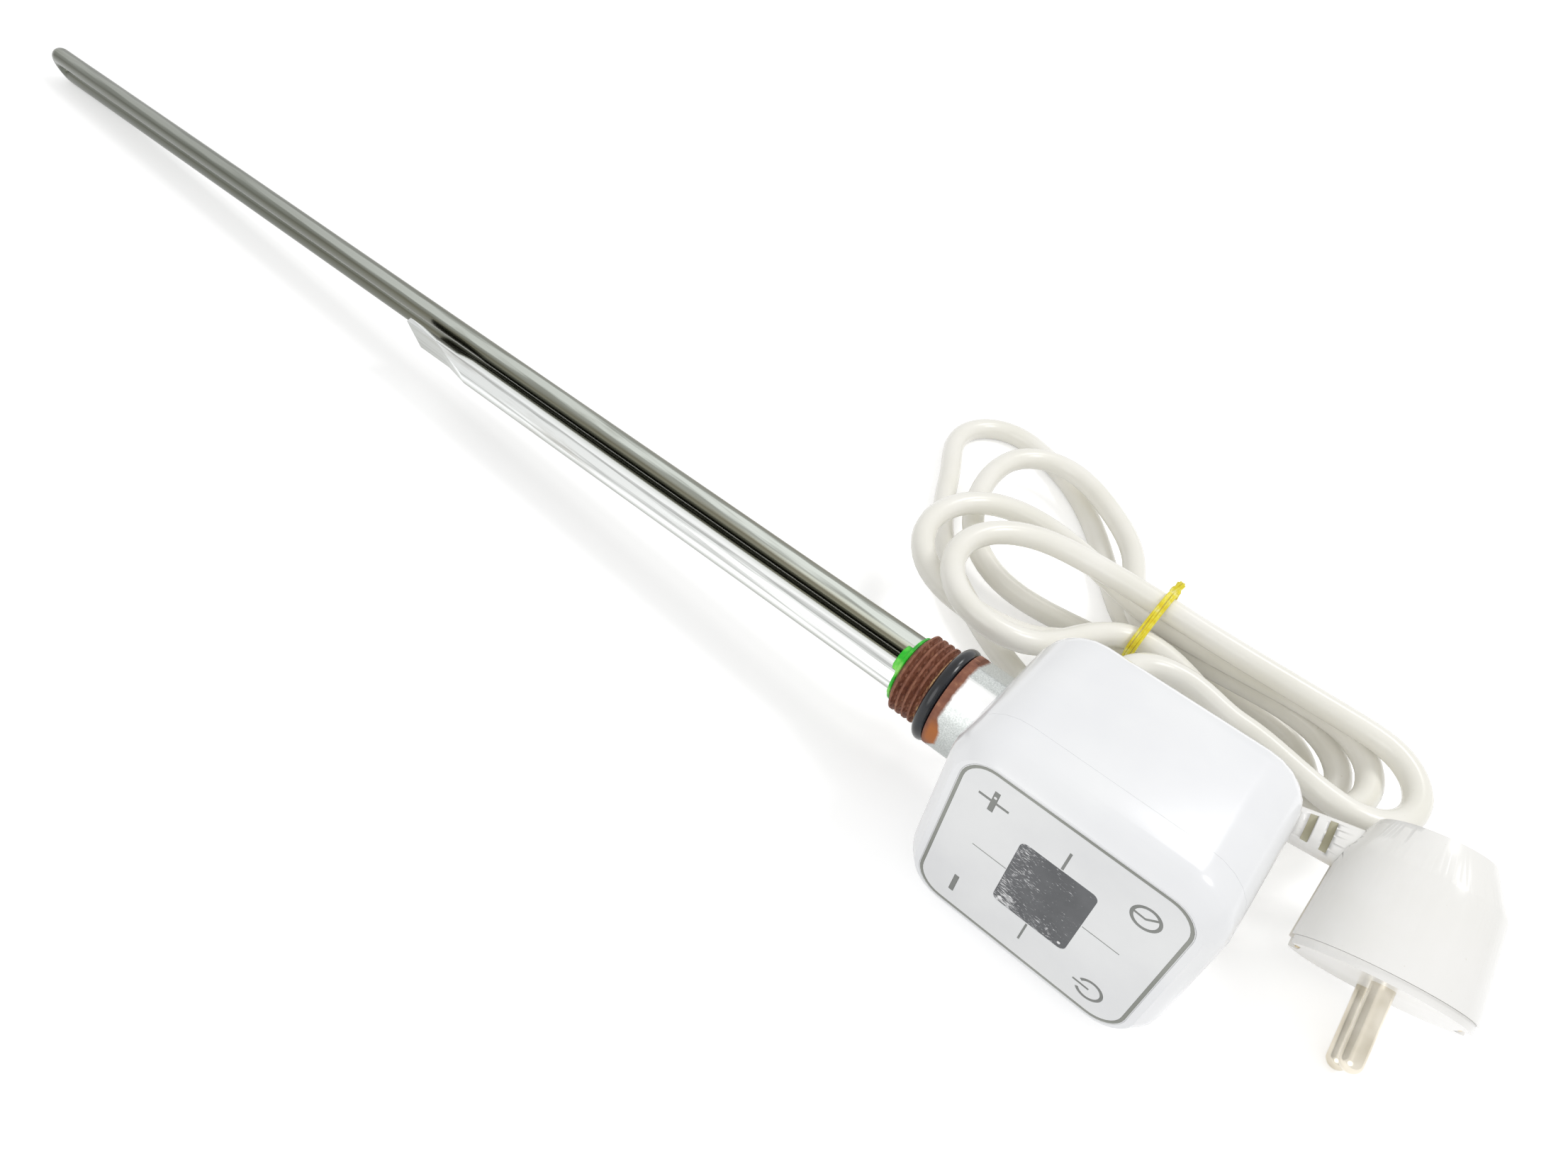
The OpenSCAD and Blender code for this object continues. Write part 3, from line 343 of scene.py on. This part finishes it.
# Bright drawn stainless: pale, with painted reflections in bands set by the surface's direction, its side by
# the sheath duller as painted shade
pocket_steel = drawn_steel(
    "bright_stainless", (0, -0.766, 0.643),
    [
        (-0.1, "66675e"), (0.35, "8b8d86"), (0.64, "c9cdca"),
        (0.84, "e2e6e6"), (0.93, "a3a5a4"), (0.985, "cfd2d1"),
    ],
    [
        (-0.1, "66675c"), (0.32, "8b8d84"), (0.6, "dfe2de"),
        (0.84, "fafbfa"), (0.93, "b4b6b3"), (0.985, "f0f2f0"),
    ],
    rough=0.17, stain="9d9688",
)


def rusted_plug():
    """Zinc-plated steel: rust-brown thread and rim, a painted golden glint on the last crest, an orange bloom
    past the rim, bright machined flats painted near white, partly a painted reflection.
    """
    material, shader, place = surface("zinc_plated_steel")
    where = add(material, "SeparateXYZ", [(0, place, "Object")])
    fine = noise(material, place, "Object", 620, 3, 0.5)
    broad = noise(material, place, "Object", 330, 4, 0.65)
    satin = noise(material, place, "Object", 3200, 3, 0.6)
    zinc = ramp(material, satin, "Fac", [(0.32, "aeb2b0"), (0.5, "bec2c0"), (0.68, "d4d7d5")])
    rust = ramp(material, fine, "Fac", [(0.3, "774a3a"), (0.46, "83533f"), (0.6, "8b5b46"), (0.74, "a07356")])
    # The machined flats, painted near white, partly a painted reflection: their normals stand 61 degrees from
    # the panel's side
    facing = add(
        material, "VectorMath", [(0, place, "Normal")], operation="DOT_PRODUCT", in_1=(0, -0.489, 0.872)
    )
    turned = add(material, "Math", [(0, facing, "Value")], operation="ABSOLUTE")
    flat = add(material, "MapRange", [(0, turned, "Value")], in_1=0.94, in_2=0.975)
    plate = add(
        material, "Mix", [(0, flat, "Result"), (6, zinc, "Color")], data_type="RGBA", in_7=rgb("fbfbfa")
    )
    # A painted golden glint in patches on the last crest of the thread
    crest = add(material, "MapRange", [(0, where, "X")], in_1=0.0016, in_2=0.0034)
    before_ring = add(material, "MapRange", [(0, where, "X")], in_1=0.0050, in_2=0.0046)
    crest = add(material, "Math", [(0, crest, "Result"), (1, before_ring, "Result")], operation="MULTIPLY")
    glint_patches = add(material, "Math", [(0, crest, "Value"), (1, broad, "Fac")], operation="MULTIPLY")
    glint = add(material, "MapRange", [(0, glint_patches, "Value")], in_1=0.44, in_2=0.56)
    brown = add(
        material, "Mix", [(0, glint, "Result"), (6, rust, "Color")], data_type="RGBA", in_7=rgb("d3ad7d")
    )
    # An orange patch where water ran: on the panel's side, just below the flat
    low = add(material, "MapRange", [(0, where, "Z")], in_1=-0.0055, in_2=-0.0025)
    high = add(material, "MapRange", [(0, where, "Z")], in_1=0.0050, in_2=0.0020)
    side = add(material, "MapRange", [(0, where, "Y")], in_1=-0.004, in_2=-0.009)
    patch = add(material, "Math", [(0, low, "Result"), (1, high, "Result")], operation="MULTIPLY")
    patch = add(material, "Math", [(0, patch, "Value"), (1, side, "Result")], operation="MULTIPLY")
    past_rim = add(material, "MapRange", [(0, where, "X")], in_1=0.0078, in_2=0.0090)
    orange = add(material, "Math", [(0, patch, "Value"), (1, past_rim, "Result")], operation="MULTIPLY")
    brown = add(
        material, "Mix", [(0, orange, "Value"), (6, brown, "Result")], data_type="RGBA", in_7=rgb("b06a35")
    )
    wander = add(material, "MapRange", [(0, broad, "Fac")], in_1=0.3, in_2=0.7, in_3=-0.0002, in_4=0.0003)
    reach = add(material, "MapRange", [(0, patch, "Value")], in_3=0.0, in_4=0.0019)
    edge = add(material, "Math", [(0, where, "X"), (1, wander, "Result")], operation="SUBTRACT")
    edge = add(material, "Math", [(0, edge, "Value"), (1, reach, "Result")], operation="SUBTRACT")
    mask = add(material, "MapRange", [(0, edge, "Value")], in_1=0.0091, in_2=0.0098, in_3=1.0, in_4=0.0)
    mix = add(
        material, "Mix", [(0, mask, "Result"), (6, plate, "Result"), (7, brown, "Result")], data_type="RGBA"
    )
    link(material, mix, "Result", shader, "Base Color")
    metal = add(material, "MapRange", [(0, mask, "Result")], in_3=1.0, in_4=0.3)
    link(material, metal, "Result", shader, "Metallic")
    rough = add(material, "MapRange", [(0, mask, "Result")], in_3=0.4, in_4=0.6)
    link(material, rough, "Result", shader, "Roughness")
    bump(material, shader, satin, "Fac", 0.012, 0.5)
    return material


plug_steel = rusted_plug()


def nitrile_rubber():
    """Moulded nitrile: black with a soft gloss and a faint dusting."""
    material, shader, place = surface("nitrile_rubber", IOR=1.52, Roughness=0.22)
    dust = noise(material, place, "Object", 500, 5, 0.7)
    tint = ramp(material, dust, "Fac", [(0.4, "05070b"), (0.75, "131a24")])
    link(material, tint, "Color", shader, "Base Color")
    level = add(material, "MapRange", [(0, dust, "Fac")], in_3=0.12, in_4=0.3)
    link(material, level, "Result", shader, "Roughness")
    bump(material, shader, dust, "Fac", 0.01, 0.5)
    return material


rubber = nitrile_rubber()


def sealant_paste():
    """Cured anaerobic sealant: bright green, thin at its edges, lumpy."""
    material, shader, place = surface("anaerobic_sealant", IOR=1.48, Roughness=0.35)
    lumps = noise(material, place, "Object", 240, 3, 0.5)
    tint = ramp(material, lumps, "Fac", [(0.32, "0f8f16"), (0.5, "22c51f"), (0.7, "93ee6a")])
    link(material, tint, "Color", shader, "Base Color")
    bump(material, shader, lumps, "Fac", 0.12, 0.7)
    return material


green_sealant = sealant_paste()
# Gloss ABS of the casing: cold white
case_white = moulded("gloss_abs", "f7f8f9", "f2f3f5", 0.24, grain_mm=0.5, depth_mm=0.004, coat=0.25)
boot_white = moulded("soft_pvc", "f5f3ea", "ece9dc", 0.4, grain_mm=0.3)
# PVC of the lead: cream white, a little dirty
lead_white = moulded("lead_pvc", "fbf9f2", "f5f3e9", 0.3, grain_mm=0.4, spots="e2ddcb")
plug_white = moulded("plug_pvc", "fbfaf8", "f6f5f1", 0.3, grain_mm=0.35, depth_mm=0.008, spots="e8e4da")
# Painted shade for the floors and walls of the relief's slots
slot_shade = moulded("painted_slot_shade", "c4c0a8", "b3af96", 0.6)
# Polyester keypad film: pale grey, worn matt in patches
film_grey = moulded(
    "polyester_film", "f2f3f3", "eaebec", 0.4, grain_mm=0.12, depth_mm=0.006, coat=0.1, spots="fcfcfc"
)
ink_grey = moulded("screen_ink", "8a8c88", "7c7e7b", 0.5, grain_mm=0.2, depth_mm=0.004, spots="b9bab9")
outline_ink = moulded("outline_ink", "9a9c95", "888a83", 0.5, grain_mm=0.2, depth_mm=0.004, spots="5c5d59")
ink_white = moulded("white_ink", "f4f4f4", "e9e9ea", 0.5)


def worn_window():
    """Smoked acrylic with pale scratches, crowded towards the thread and the lower edge."""
    material, shader, place = surface("smoked_acrylic", IOR=1.49, Coat_Weight=0.15)
    where = add(material, "SeparateXYZ", [(0, place, "Object")])
    cloud = noise(material, place, "Object", 140, 3)
    smoke = ramp(material, cloud, "Fac", [(0.35, "4d4f52"), (0.65, "5c5e61")])
    scratch = noise(material, stretched(material, place, (800, 1700, 4200)), "Vector", 1.0, 4, 0.75)
    zone = noise(material, place, "Object", 170, 3, 0.6)
    left = add(material, "MapRange", [(0, where, "X")], in_1=0.0415, in_2=0.0560, in_3=0.08, in_4=0.0)
    low = add(material, "MapRange", [(0, where, "Z")], in_1=-0.0100, in_2=0.0040, in_3=0.05, in_4=0.0)
    near = add(material, "Math", [(0, left, "Result"), (1, low, "Result")], operation="ADD")
    total = add(
        material, "Math", [(0, zone, "Fac"), (2, scratch, "Fac")], operation="MULTIPLY_ADD", in_1=0.35
    )
    total = add(material, "Math", [(0, total, "Value"), (1, near, "Value")], operation="ADD")
    mask = add(material, "MapRange", [(0, total, "Value")], in_1=0.84, in_2=0.875)
    tint = add(
        material, "Mix", [(0, mask, "Result"), (6, smoke, "Color")], data_type="RGBA", in_7=rgb("eeeeef")
    )
    link(material, tint, "Result", shader, "Base Color")
    level = add(material, "MapRange", [(0, mask, "Result")], in_3=0.24, in_4=0.6)
    link(material, level, "Result", shader, "Roughness")
    bump(material, shader, total, "Value", 0.02, 0.4)
    return material


window_grey = worn_window()


def nickel_plate(name, low, high, rough):
    """Nickel plate over brass, rubbed in patches: a warm silver."""
    material, shader, place = surface(name, Metallic=1.0, Roughness=rough)
    rub = noise(material, place, "Object", 160, 2, 0.4)
    tint = ramp(material, rub, "Fac", [(0.35, low), (0.65, high)])
    link(material, tint, "Color", shader, "Base Color")
    level = add(material, "MapRange", [(0, rub, "Fac")], in_3=rough - 0.03, in_4=rough + 0.05)
    link(material, level, "Result", shader, "Roughness")
    return material


pin_nickel = nickel_plate("nickel_plate", "d0c8b6", "e6dfd0", 0.2)
brass_tin = nickel_plate("tinned_brass", "b59a5c", "d9c48c", 0.3)
zinc_screw = nickel_plate("zinc_plate", "a9adb0", "cfd3d6", 0.3)


def twisted_string():
    """Soft waxed string: lemon yellow, paler where its fibres are loose."""
    material, shader, place = surface("waxed_string", Roughness=0.6, Sheen_Weight=0.2)
    fibre = noise(material, place, "Object", 420, 3, 0.6)
    tint = ramp(material, fibre, "Fac", [(0.3, "ecd21c"), (0.5, "f6e83a"), (0.7, "fcf5a4")])
    link(material, tint, "Color", shader, "Base Color")
    bump(material, shader, fibre, "Fac", 0.03, 0.5)
    return material


string_yellow = twisted_string()
board_green = moulded("solder_mask", "1f5a38", "17482c", 0.35, grain_mm=0.4, coat=0.2)
part_black = moulded("epoxy_black", "1b1b1d", "121213", 0.45)
part_blue = moulded("coated_blue", "2d5f9e", "244f86", 0.4)
part_grey = moulded("nylon_grey", "8c8d8f", "7d7e80", 0.5)
silicone_red = moulded("silicone_sleeve", "b04a3c", "9c3f33", 0.5)
braid = moulded("glass_braid", "e6dcc0", "d3c6a2", 0.75, grain_mm=0.6, depth_mm=0.08)
magnesia = moulded("pressed_magnesia", "e9e6df", "dcd8ce", 0.85, grain_mm=0.3, depth_mm=0.05)
bead = moulded("glazed_bead", "efe9da", "e0d8c4", 0.3)

node_materials = {
    "heating_tube": sheath_steel, "magnesia_core": magnesia, "resistance_coil": pocket_steel,
    "terminal_pins": pocket_steel, "end_seals": bead, "spade_terminals": brass_tin,
    "sensor_tube": pocket_steel, "insulating_sleeve": braid, "temperature_probe": part_black,
    "thermal_fuse": zinc_screw, "sensor_wires": silicone_red, "threaded_plug": plug_steel,
    "o_ring": rubber, "sealant": green_sealant, "retaining_nut": brass_tin, "earth_tag": brass_tin,
    "rear_housing": case_white, "front_cover": case_white, "housing_seal": part_grey,
    "cover_screws": zinc_screw, "keypad_foil": film_grey, "display_window": window_grey,
    "display_module": part_black, "control_board": board_green, "tact_switches": part_black,
    "controller_chip": part_black, "key_plus": part_grey, "key_minus": part_grey,
    "key_timer": part_grey, "key_power": part_grey, "board_link": part_black,
    "power_board": board_green, "board_screws": zinc_screw, "relay": part_blue,
    "film_capacitor": part_blue, "power_module": part_black, "board_fuse": part_black,
    "terminal_block": part_grey, "element_wires": silicone_red, "earth_wire": string_yellow,
    "supply_wires": silicone_red, "cord_boot": boot_white, "boot_lock": part_grey,
    "cord_lead": lead_white, "cord_hank": lead_white, "cord_tail": lead_white,
    "hank_tie": string_yellow, "plug_body": plug_white, "plug_face": plug_white,
    "plug_relief": plug_white, "plug_pins": pin_nickel, "earth_clips": brass_tin,
}
for name, obj in nodes.items():
    obj.data.materials.clear()
    obj.data.materials.append(node_materials[name])


def alone(obj):
    bpy.ops.object.select_all(action="DESELECT")
    obj.select_set(True)
    bpy.context.view_layer.objects.active = obj


WELD = 0.01 * MM
FLAT_ANGLE = math.radians(0.5)
SMOOTH_ANGLE = math.radians(35)


def dressed(node):
    """A copy of a CAD node with its facets joined and its round faces smooth."""
    obj = bpy.data.objects.new(node + "_shape", nodes[node].data.copy())
    bpy.context.scene.collection.objects.link(obj)
    alone(obj)
    bpy.ops.object.mode_set(mode="EDIT")
    bpy.ops.mesh.select_all(action="SELECT")
    bpy.ops.mesh.remove_doubles(threshold=WELD)
    bpy.ops.mesh.dissolve_limited(angle_limit=FLAT_ANGLE)
    bpy.ops.object.mode_set(mode="OBJECT")
    bpy.ops.object.shade_smooth_by_angle(angle=SMOOTH_ANGLE)
    weight = obj.modifiers.new("normals", "WEIGHTED_NORMAL")
    weight.keep_sharp = True
    bpy.ops.object.modifier_apply(modifier=weight.name)
    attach(obj, "heater")
    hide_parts(node)
    return obj


for node in (
    "heating_tube", "sensor_tube", "threaded_plug", "rear_housing", "front_cover",
    "keypad_foil", "display_window", "cover_screws", "cord_boot",
):
    dressed(node)

# The sealant's fillets are soft where it was drawn up round the tubes
paste = dressed("sealant")
blend = paste.modifiers.new("blend", "REMESH")
blend.mode = "VOXEL"
blend.voxel_size = 0.3 * MM
soften = paste.modifiers.new("soften", "SMOOTH")
soften.factor = 0.6
soften.iterations = 14
for modifier in (blend, soften):
    bpy.ops.object.modifier_apply(modifier=modifier.name)
bpy.ops.object.shade_smooth()

# The O-ring: its section's radius is O_RING_R in the solid, and bulges to O_RING_PRESSED as it is squeezed
O_RING_X = 6.0
O_RING_R = 1.55
O_RING_PRESSED = 1.82
ring_low, ring_high = (Vector(p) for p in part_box("o_ring"))
bpy.ops.object.select_all(action="DESELECT")
bpy.ops.mesh.primitive_torus_add(
    major_segments=96, minor_segments=24,
    major_radius=(ring_high.y - ring_low.y) / 2 - O_RING_R * MM, minor_radius=O_RING_PRESSED * MM,
    location=lain(O_RING_X, 0, 0) * MM, rotation=(0, math.radians(90) - LIE, 0),
)
seal_ring = bpy.context.active_object
seal_ring.name = "seal_ring"
bpy.ops.object.transform_apply(location=True, rotation=True, scale=True)
bpy.ops.object.shade_smooth()
seal_ring.data.materials.append(rubber)
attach(seal_ring, "heater")
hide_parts("o_ring")

plug_pieces = [
    dressed(node) for node in ("plug_body", "plug_face", "plug_relief", "plug_pins", "earth_clips")
]

# The floors and walls of the slots that let the relief bend are darker: painted shade in the recesses
SLOT_FLOOR_R = 3.7
SLOT_WALL_R = (3.4, 5.4)
relief = plug_pieces[2]
alone(relief)
relief.data.materials.append(slot_shade)
bpy.context.scene.tool_settings.mesh_select_mode = (False, False, True)
bpy.ops.object.mode_set(mode="EDIT")
bpy.ops.mesh.select_all(action="DESELECT")
bpy.ops.object.mode_set(mode="OBJECT")
relief_way = (route[-1] - route[-2]).normalized()
for face in relief.data.polygons:
    away = face.center - route[-1]
    radius = (away - relief_way * away.dot(relief_way)).length / MM
    lengthwise = abs(face.normal.dot(relief_way))
    on_floor = lengthwise < 0.3 and radius < SLOT_FLOOR_R
    on_wall = lengthwise > 0.9 and SLOT_WALL_R[0] < radius < SLOT_WALL_R[1]
    face.select = on_floor or on_wall
relief.active_material_index = 1
bpy.ops.object.mode_set(mode="EDIT")
bpy.ops.object.material_slot_assign()
bpy.ops.object.mode_set(mode="OBJECT")
bpy.context.scene.tool_settings.mesh_select_mode = (True, False, False)


def joined(name, pieces, material):
    """The pieces as one mesh of one material, which rides on the heater."""
    bpy.ops.object.select_all(action="DESELECT")
    for piece in pieces:
        piece.select_set(True)
    bpy.context.view_layer.objects.active = pieces[0]
    bpy.ops.object.convert(target="MESH")
    if len(pieces) > 1:
        bpy.ops.object.join()
    obj = bpy.context.active_object
    obj.name = name
    obj.data.materials.clear()
    obj.data.materials.append(material)
    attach(obj, "heater")
    return obj


# Printed marks, thin on the keypad's film: the outline, the icons and the window's cross lines
PANEL_Y = -30.2
PANEL_MID_X = 50.3


def printed(name, marks, material, proud):
    """Flat ribbons of ink: marks holds (path of (x, z), width, whether it closes)."""
    pieces = []
    for path, width, closed in marks:
        line = curve_tube(name, [lain(x, PANEL_Y, z) * MM for x, z in path], width / 2 * MM, 12, closed)
        alone(line)
        bpy.ops.object.convert(target="MESH")
        bpy.ops.object.mode_set(mode="EDIT")
        bpy.ops.mesh.select_all(action="SELECT")
        bpy.ops.transform.resize(value=(1, 2 * proud / width, 1), center_override=(0, PANEL_Y * MM, 0))
        bpy.ops.object.mode_set(mode="OBJECT")
        pieces.append(line)
    return joined(name, pieces, material)


def arc(x, z, r, start=0, end=360, steps=40):
    turns = [math.radians(start + (end - start) * i / steps) for i in range(steps + (end - start < 360))]
    return [(x + r * math.cos(a), z + r * math.sin(a)) for a in turns]


def round_frame(half_x, half_z, r):
    path = []
    for sx, sz, start in ((1, 1, 0), (-1, 1, 90), (-1, -1, 180), (1, -1, 270)):
        path += arc(PANEL_MID_X + sx * (half_x - r), sz * (half_z - r), r, start, start + 90, 8)
    return path


printed("outline_print", [(round_frame(25.6, 23.05, 6.5), 0.8, True)], outline_ink, 0.05)
printed("icon_print", [
    # Plus
    ([(29.3, 15.4), (36.5, 15.4)], 0.7, False),
    ([(32.9, 12.4), (32.9, 18.6)], 1.3, False),
    # Minus
    ([(33.0, -12.7), (33.0, -18.5)], 1.2, False),
    # Clock
    (arc(67.85, 14.3, 2.93), 0.75, True),
    ([(64.6, 14.3), (67.8, 14.1), (70.0, 15.9)], 0.6, False),
    # Power
    (arc(67.6, -16.2, 2.83, -150, 150), 0.75, False),
    ([(63.6, -16.05), (67.5, -16.15)], 0.6, False),
    # Cross lines beside the window
    ([(32.8, 0.1), (41.2, 0.1)], 0.25, False),
    ([(59.5, 0.1), (68.0, 0.1)], 0.25, False),
    ([(50.55, 11.1), (50.55, 16.8)], 0.6, False),
    ([(50.4, -11.1), (50.4, -17.3)], 0.5, False),
], ink_grey, 0.04)
printed("dot_print", [
    (arc(43.0, -9.4, 0.3, steps=12), 0.6, True),
    (arc(57.6, -9.3, 0.2, steps=12), 0.45, True),
    (arc(32.9, 16.8, 0.2, steps=12), 0.45, True),
], ink_white, 0.06)


# The tie: four turns of soft string round the waist, knotted at the back with its cut ends up
def hull_of(points):
    """The convex outline of points in a plane, anticlockwise."""
    points = sorted(points)
    halves = []
    for row in (points, points[::-1]):
        half = []
        for p in row:
            while len(half) > 1 and (half[-1][0] - half[-2][0]) * (p[1] - half[-2][1]) <= (
                half[-1][1] - half[-2][1]
            ) * (p[0] - half[-2][0]):
                half.pop()
            half.append(p)
        halves += half[:-1]
    return halves


def even(path, n):
    """The closed path again, by n points at even steps."""
    ends = path + [path[0]]
    steps = [(b - a).length for a, b in zip(ends, ends[1:])]
    total = sum(steps)
    points = []
    i, gone = 0, 0.0
    for k in range(n):
        want = total * k / n
        while gone + steps[i] < want:
            gone += steps[i]
            i += 1
        points.append(ends[i].lerp(ends[i + 1], (want - gone) / steps[i]))
    return points


# Where the hank passes under the tie's two edges
strands = []
for x in (TIE_X - TIE_HALF, TIE_X + TIE_HALF):
    for p, q in zip(hank, hank[1:]):
        if (p.x - x) * (q.x - x) <= 0:
            strands.append(p.lerp(q, (x - p.x) / (q.x - p.x)))
STRING_R = 0.4
KNOT_R = 0.45
TIE_CLEAR = 0.6
STRING_REACH = CORD_R + TIE_CLEAR + 0.5
BELT_STEPS = 240
turns = [math.radians(7.5 * i) for i in range(48)]
round_all = [
    (p.y + STRING_REACH * math.cos(a), p.z + STRING_REACH * math.sin(a)) for p in strands for a in turns
]
# Where the string passes under the waist it lies flat on the table
STRING_LOW = FLOOR_Z + STRING_R + 0.14
belt = even([Vector((0, y, max(z, STRING_LOW))) for y, z in hull_of(round_all)], BELT_STEPS)
strings = []
for k, offset in enumerate((-0.95, -0.32, 0.32, 0.95)):
    path = []
    for i, p in enumerate(belt):
        along = (belt[(i + 1) % BELT_STEPS] - belt[i - 1]).normalized()
        outward = Vector((0, along.z, -along.y))
        a = 2 * math.pi * (3 * i / BELT_STEPS + 0.37 * k)
        twist = Vector((TIE_X + offset + 0.14 * math.sin(a), 0, 0))
        path.append(p + twist + outward * 0.12 * math.cos(2 * a))
    strings.append(curve_tube("hank_string", [p * MM for p in path], STRING_R * MM, 8, True))
# The ends, fraying as they stand off the waist, and the knot round their foot
knot_at = max(belt, key=lambda p: 0.55 * p.y + p.z) + Vector((TIE_X, 0, 0))
tail_way = Vector((0.06, 0.62, 0.78)).normalized()
over = tail_way.cross(Vector((1, 0, 0))).normalized()
for k in range(6):
    path = []
    for i in range(9):
        a = 2 * math.pi * (k / 6 + i / 40)
        spread = 0.55 + 0.035 * i
        path.append(
            knot_at + tail_way * i * (0.46 - 0.03 * (k % 3)) + Vector((spread * math.cos(a), 0, 0))
            + over * spread * 0.8 * math.sin(a)
        )
    strings.append(curve_tube("hank_string", [p * MM for p in path], STRING_R * MM, 8))
knot = []
for i in range(41):
    a = 2 * math.pi * i / 20
    curl = Vector((1.05 * math.cos(a), 0.5 * i / 20 + 0.8 * math.sin(a), 0.75 * math.sin(a) + 0.4))
    knot.append(knot_at + curl)
strings.append(curve_tube("hank_string", [p * MM for p in knot], KNOT_R * MM, 8))
string_tie = joined("string_tie", strings, string_yellow)
bpy.ops.object.shade_smooth()
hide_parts("hank_tie")

mains_lead.data.materials.append(lead_white)
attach(mains_lead, "heater")
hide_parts("cord_lead", "cord_hank", "cord_tail")

# Floor and light
bpy.ops.object.select_all(action="DESELECT")
bpy.ops.mesh.primitive_plane_add(size=12, location=(0, 0, FLOOR_Z * MM))
floor = bpy.context.active_object
floor.name = "floor"
floor_paint, floor_shader, _ = surface("floor_paper", Roughness=0.9)
floor_shader.inputs["Specular IOR Level"].default_value = 0.0


def background_rays(owner):
    """1 for the rays that look at the background: from the camera, off gloss and through glass."""
    rays = add(owner, "LightPath")
    seen = add(owner, "Math", [(0, rays, "Is Camera Ray"), (1, rays, "Is Glossy Ray")], operation="MAXIMUM")
    return add(owner, "Math", [(0, seen, "Value"), (1, rays, "Is Transmission Ray")], operation="MAXIMUM")


pale = add(
    floor_paint, "Mix", [(0, background_rays(floor_paint), "Value")], data_type="RGBA",
    in_6=(0.82, 0.82, 0.82, 1), in_7=(0.98, 0.98, 0.98, 1),
)
link(floor_paint, pale, "Result", floor_shader, "Base Color")
lift = add(floor_paint, "MapRange", [(0, background_rays(floor_paint), "Value")], in_3=0.0, in_4=0.36)
floor_shader.inputs["Emission Color"].default_value = (1, 1, 1, 1)
link(floor_paint, lift, "Result", floor_shader, "Emission Strength")
floor.data.materials.append(floor_paint)

world = bpy.data.worlds.new("studio")
bpy.context.scene.world = world
world.use_nodes = True
background = world.node_tree.nodes["Background"]
background.inputs["Color"].default_value = (1, 1, 1, 1)
level = add(world, "MapRange", [(0, background_rays(world), "Value")], in_3=0.6, in_4=1.0)
link(world, level, "Result", background, "Strength")


def softbox(name, place, size, power):
    data = bpy.data.lights.new(name, "AREA")
    data.shape = "DISK"
    data.size = size
    data.energy = power
    lamp = bpy.data.objects.new(name, data)
    bpy.context.scene.collection.objects.link(lamp)
    lamp.location = place
    lamp.rotation_euler = (-Vector(place)).to_track_quat("-Z", "Y").to_euler()


softbox("key_light", (0.5, 0.35, 0.95), size=0.28, power=2.5)
softbox("second_light", (0.15, 0.75, 1.0), size=0.28, power=1.9)
softbox("front_light", (-0.15, -1.0, 0.55), size=0.9, power=3.1)

bpy.context.scene.view_settings.view_transform = "Standard"
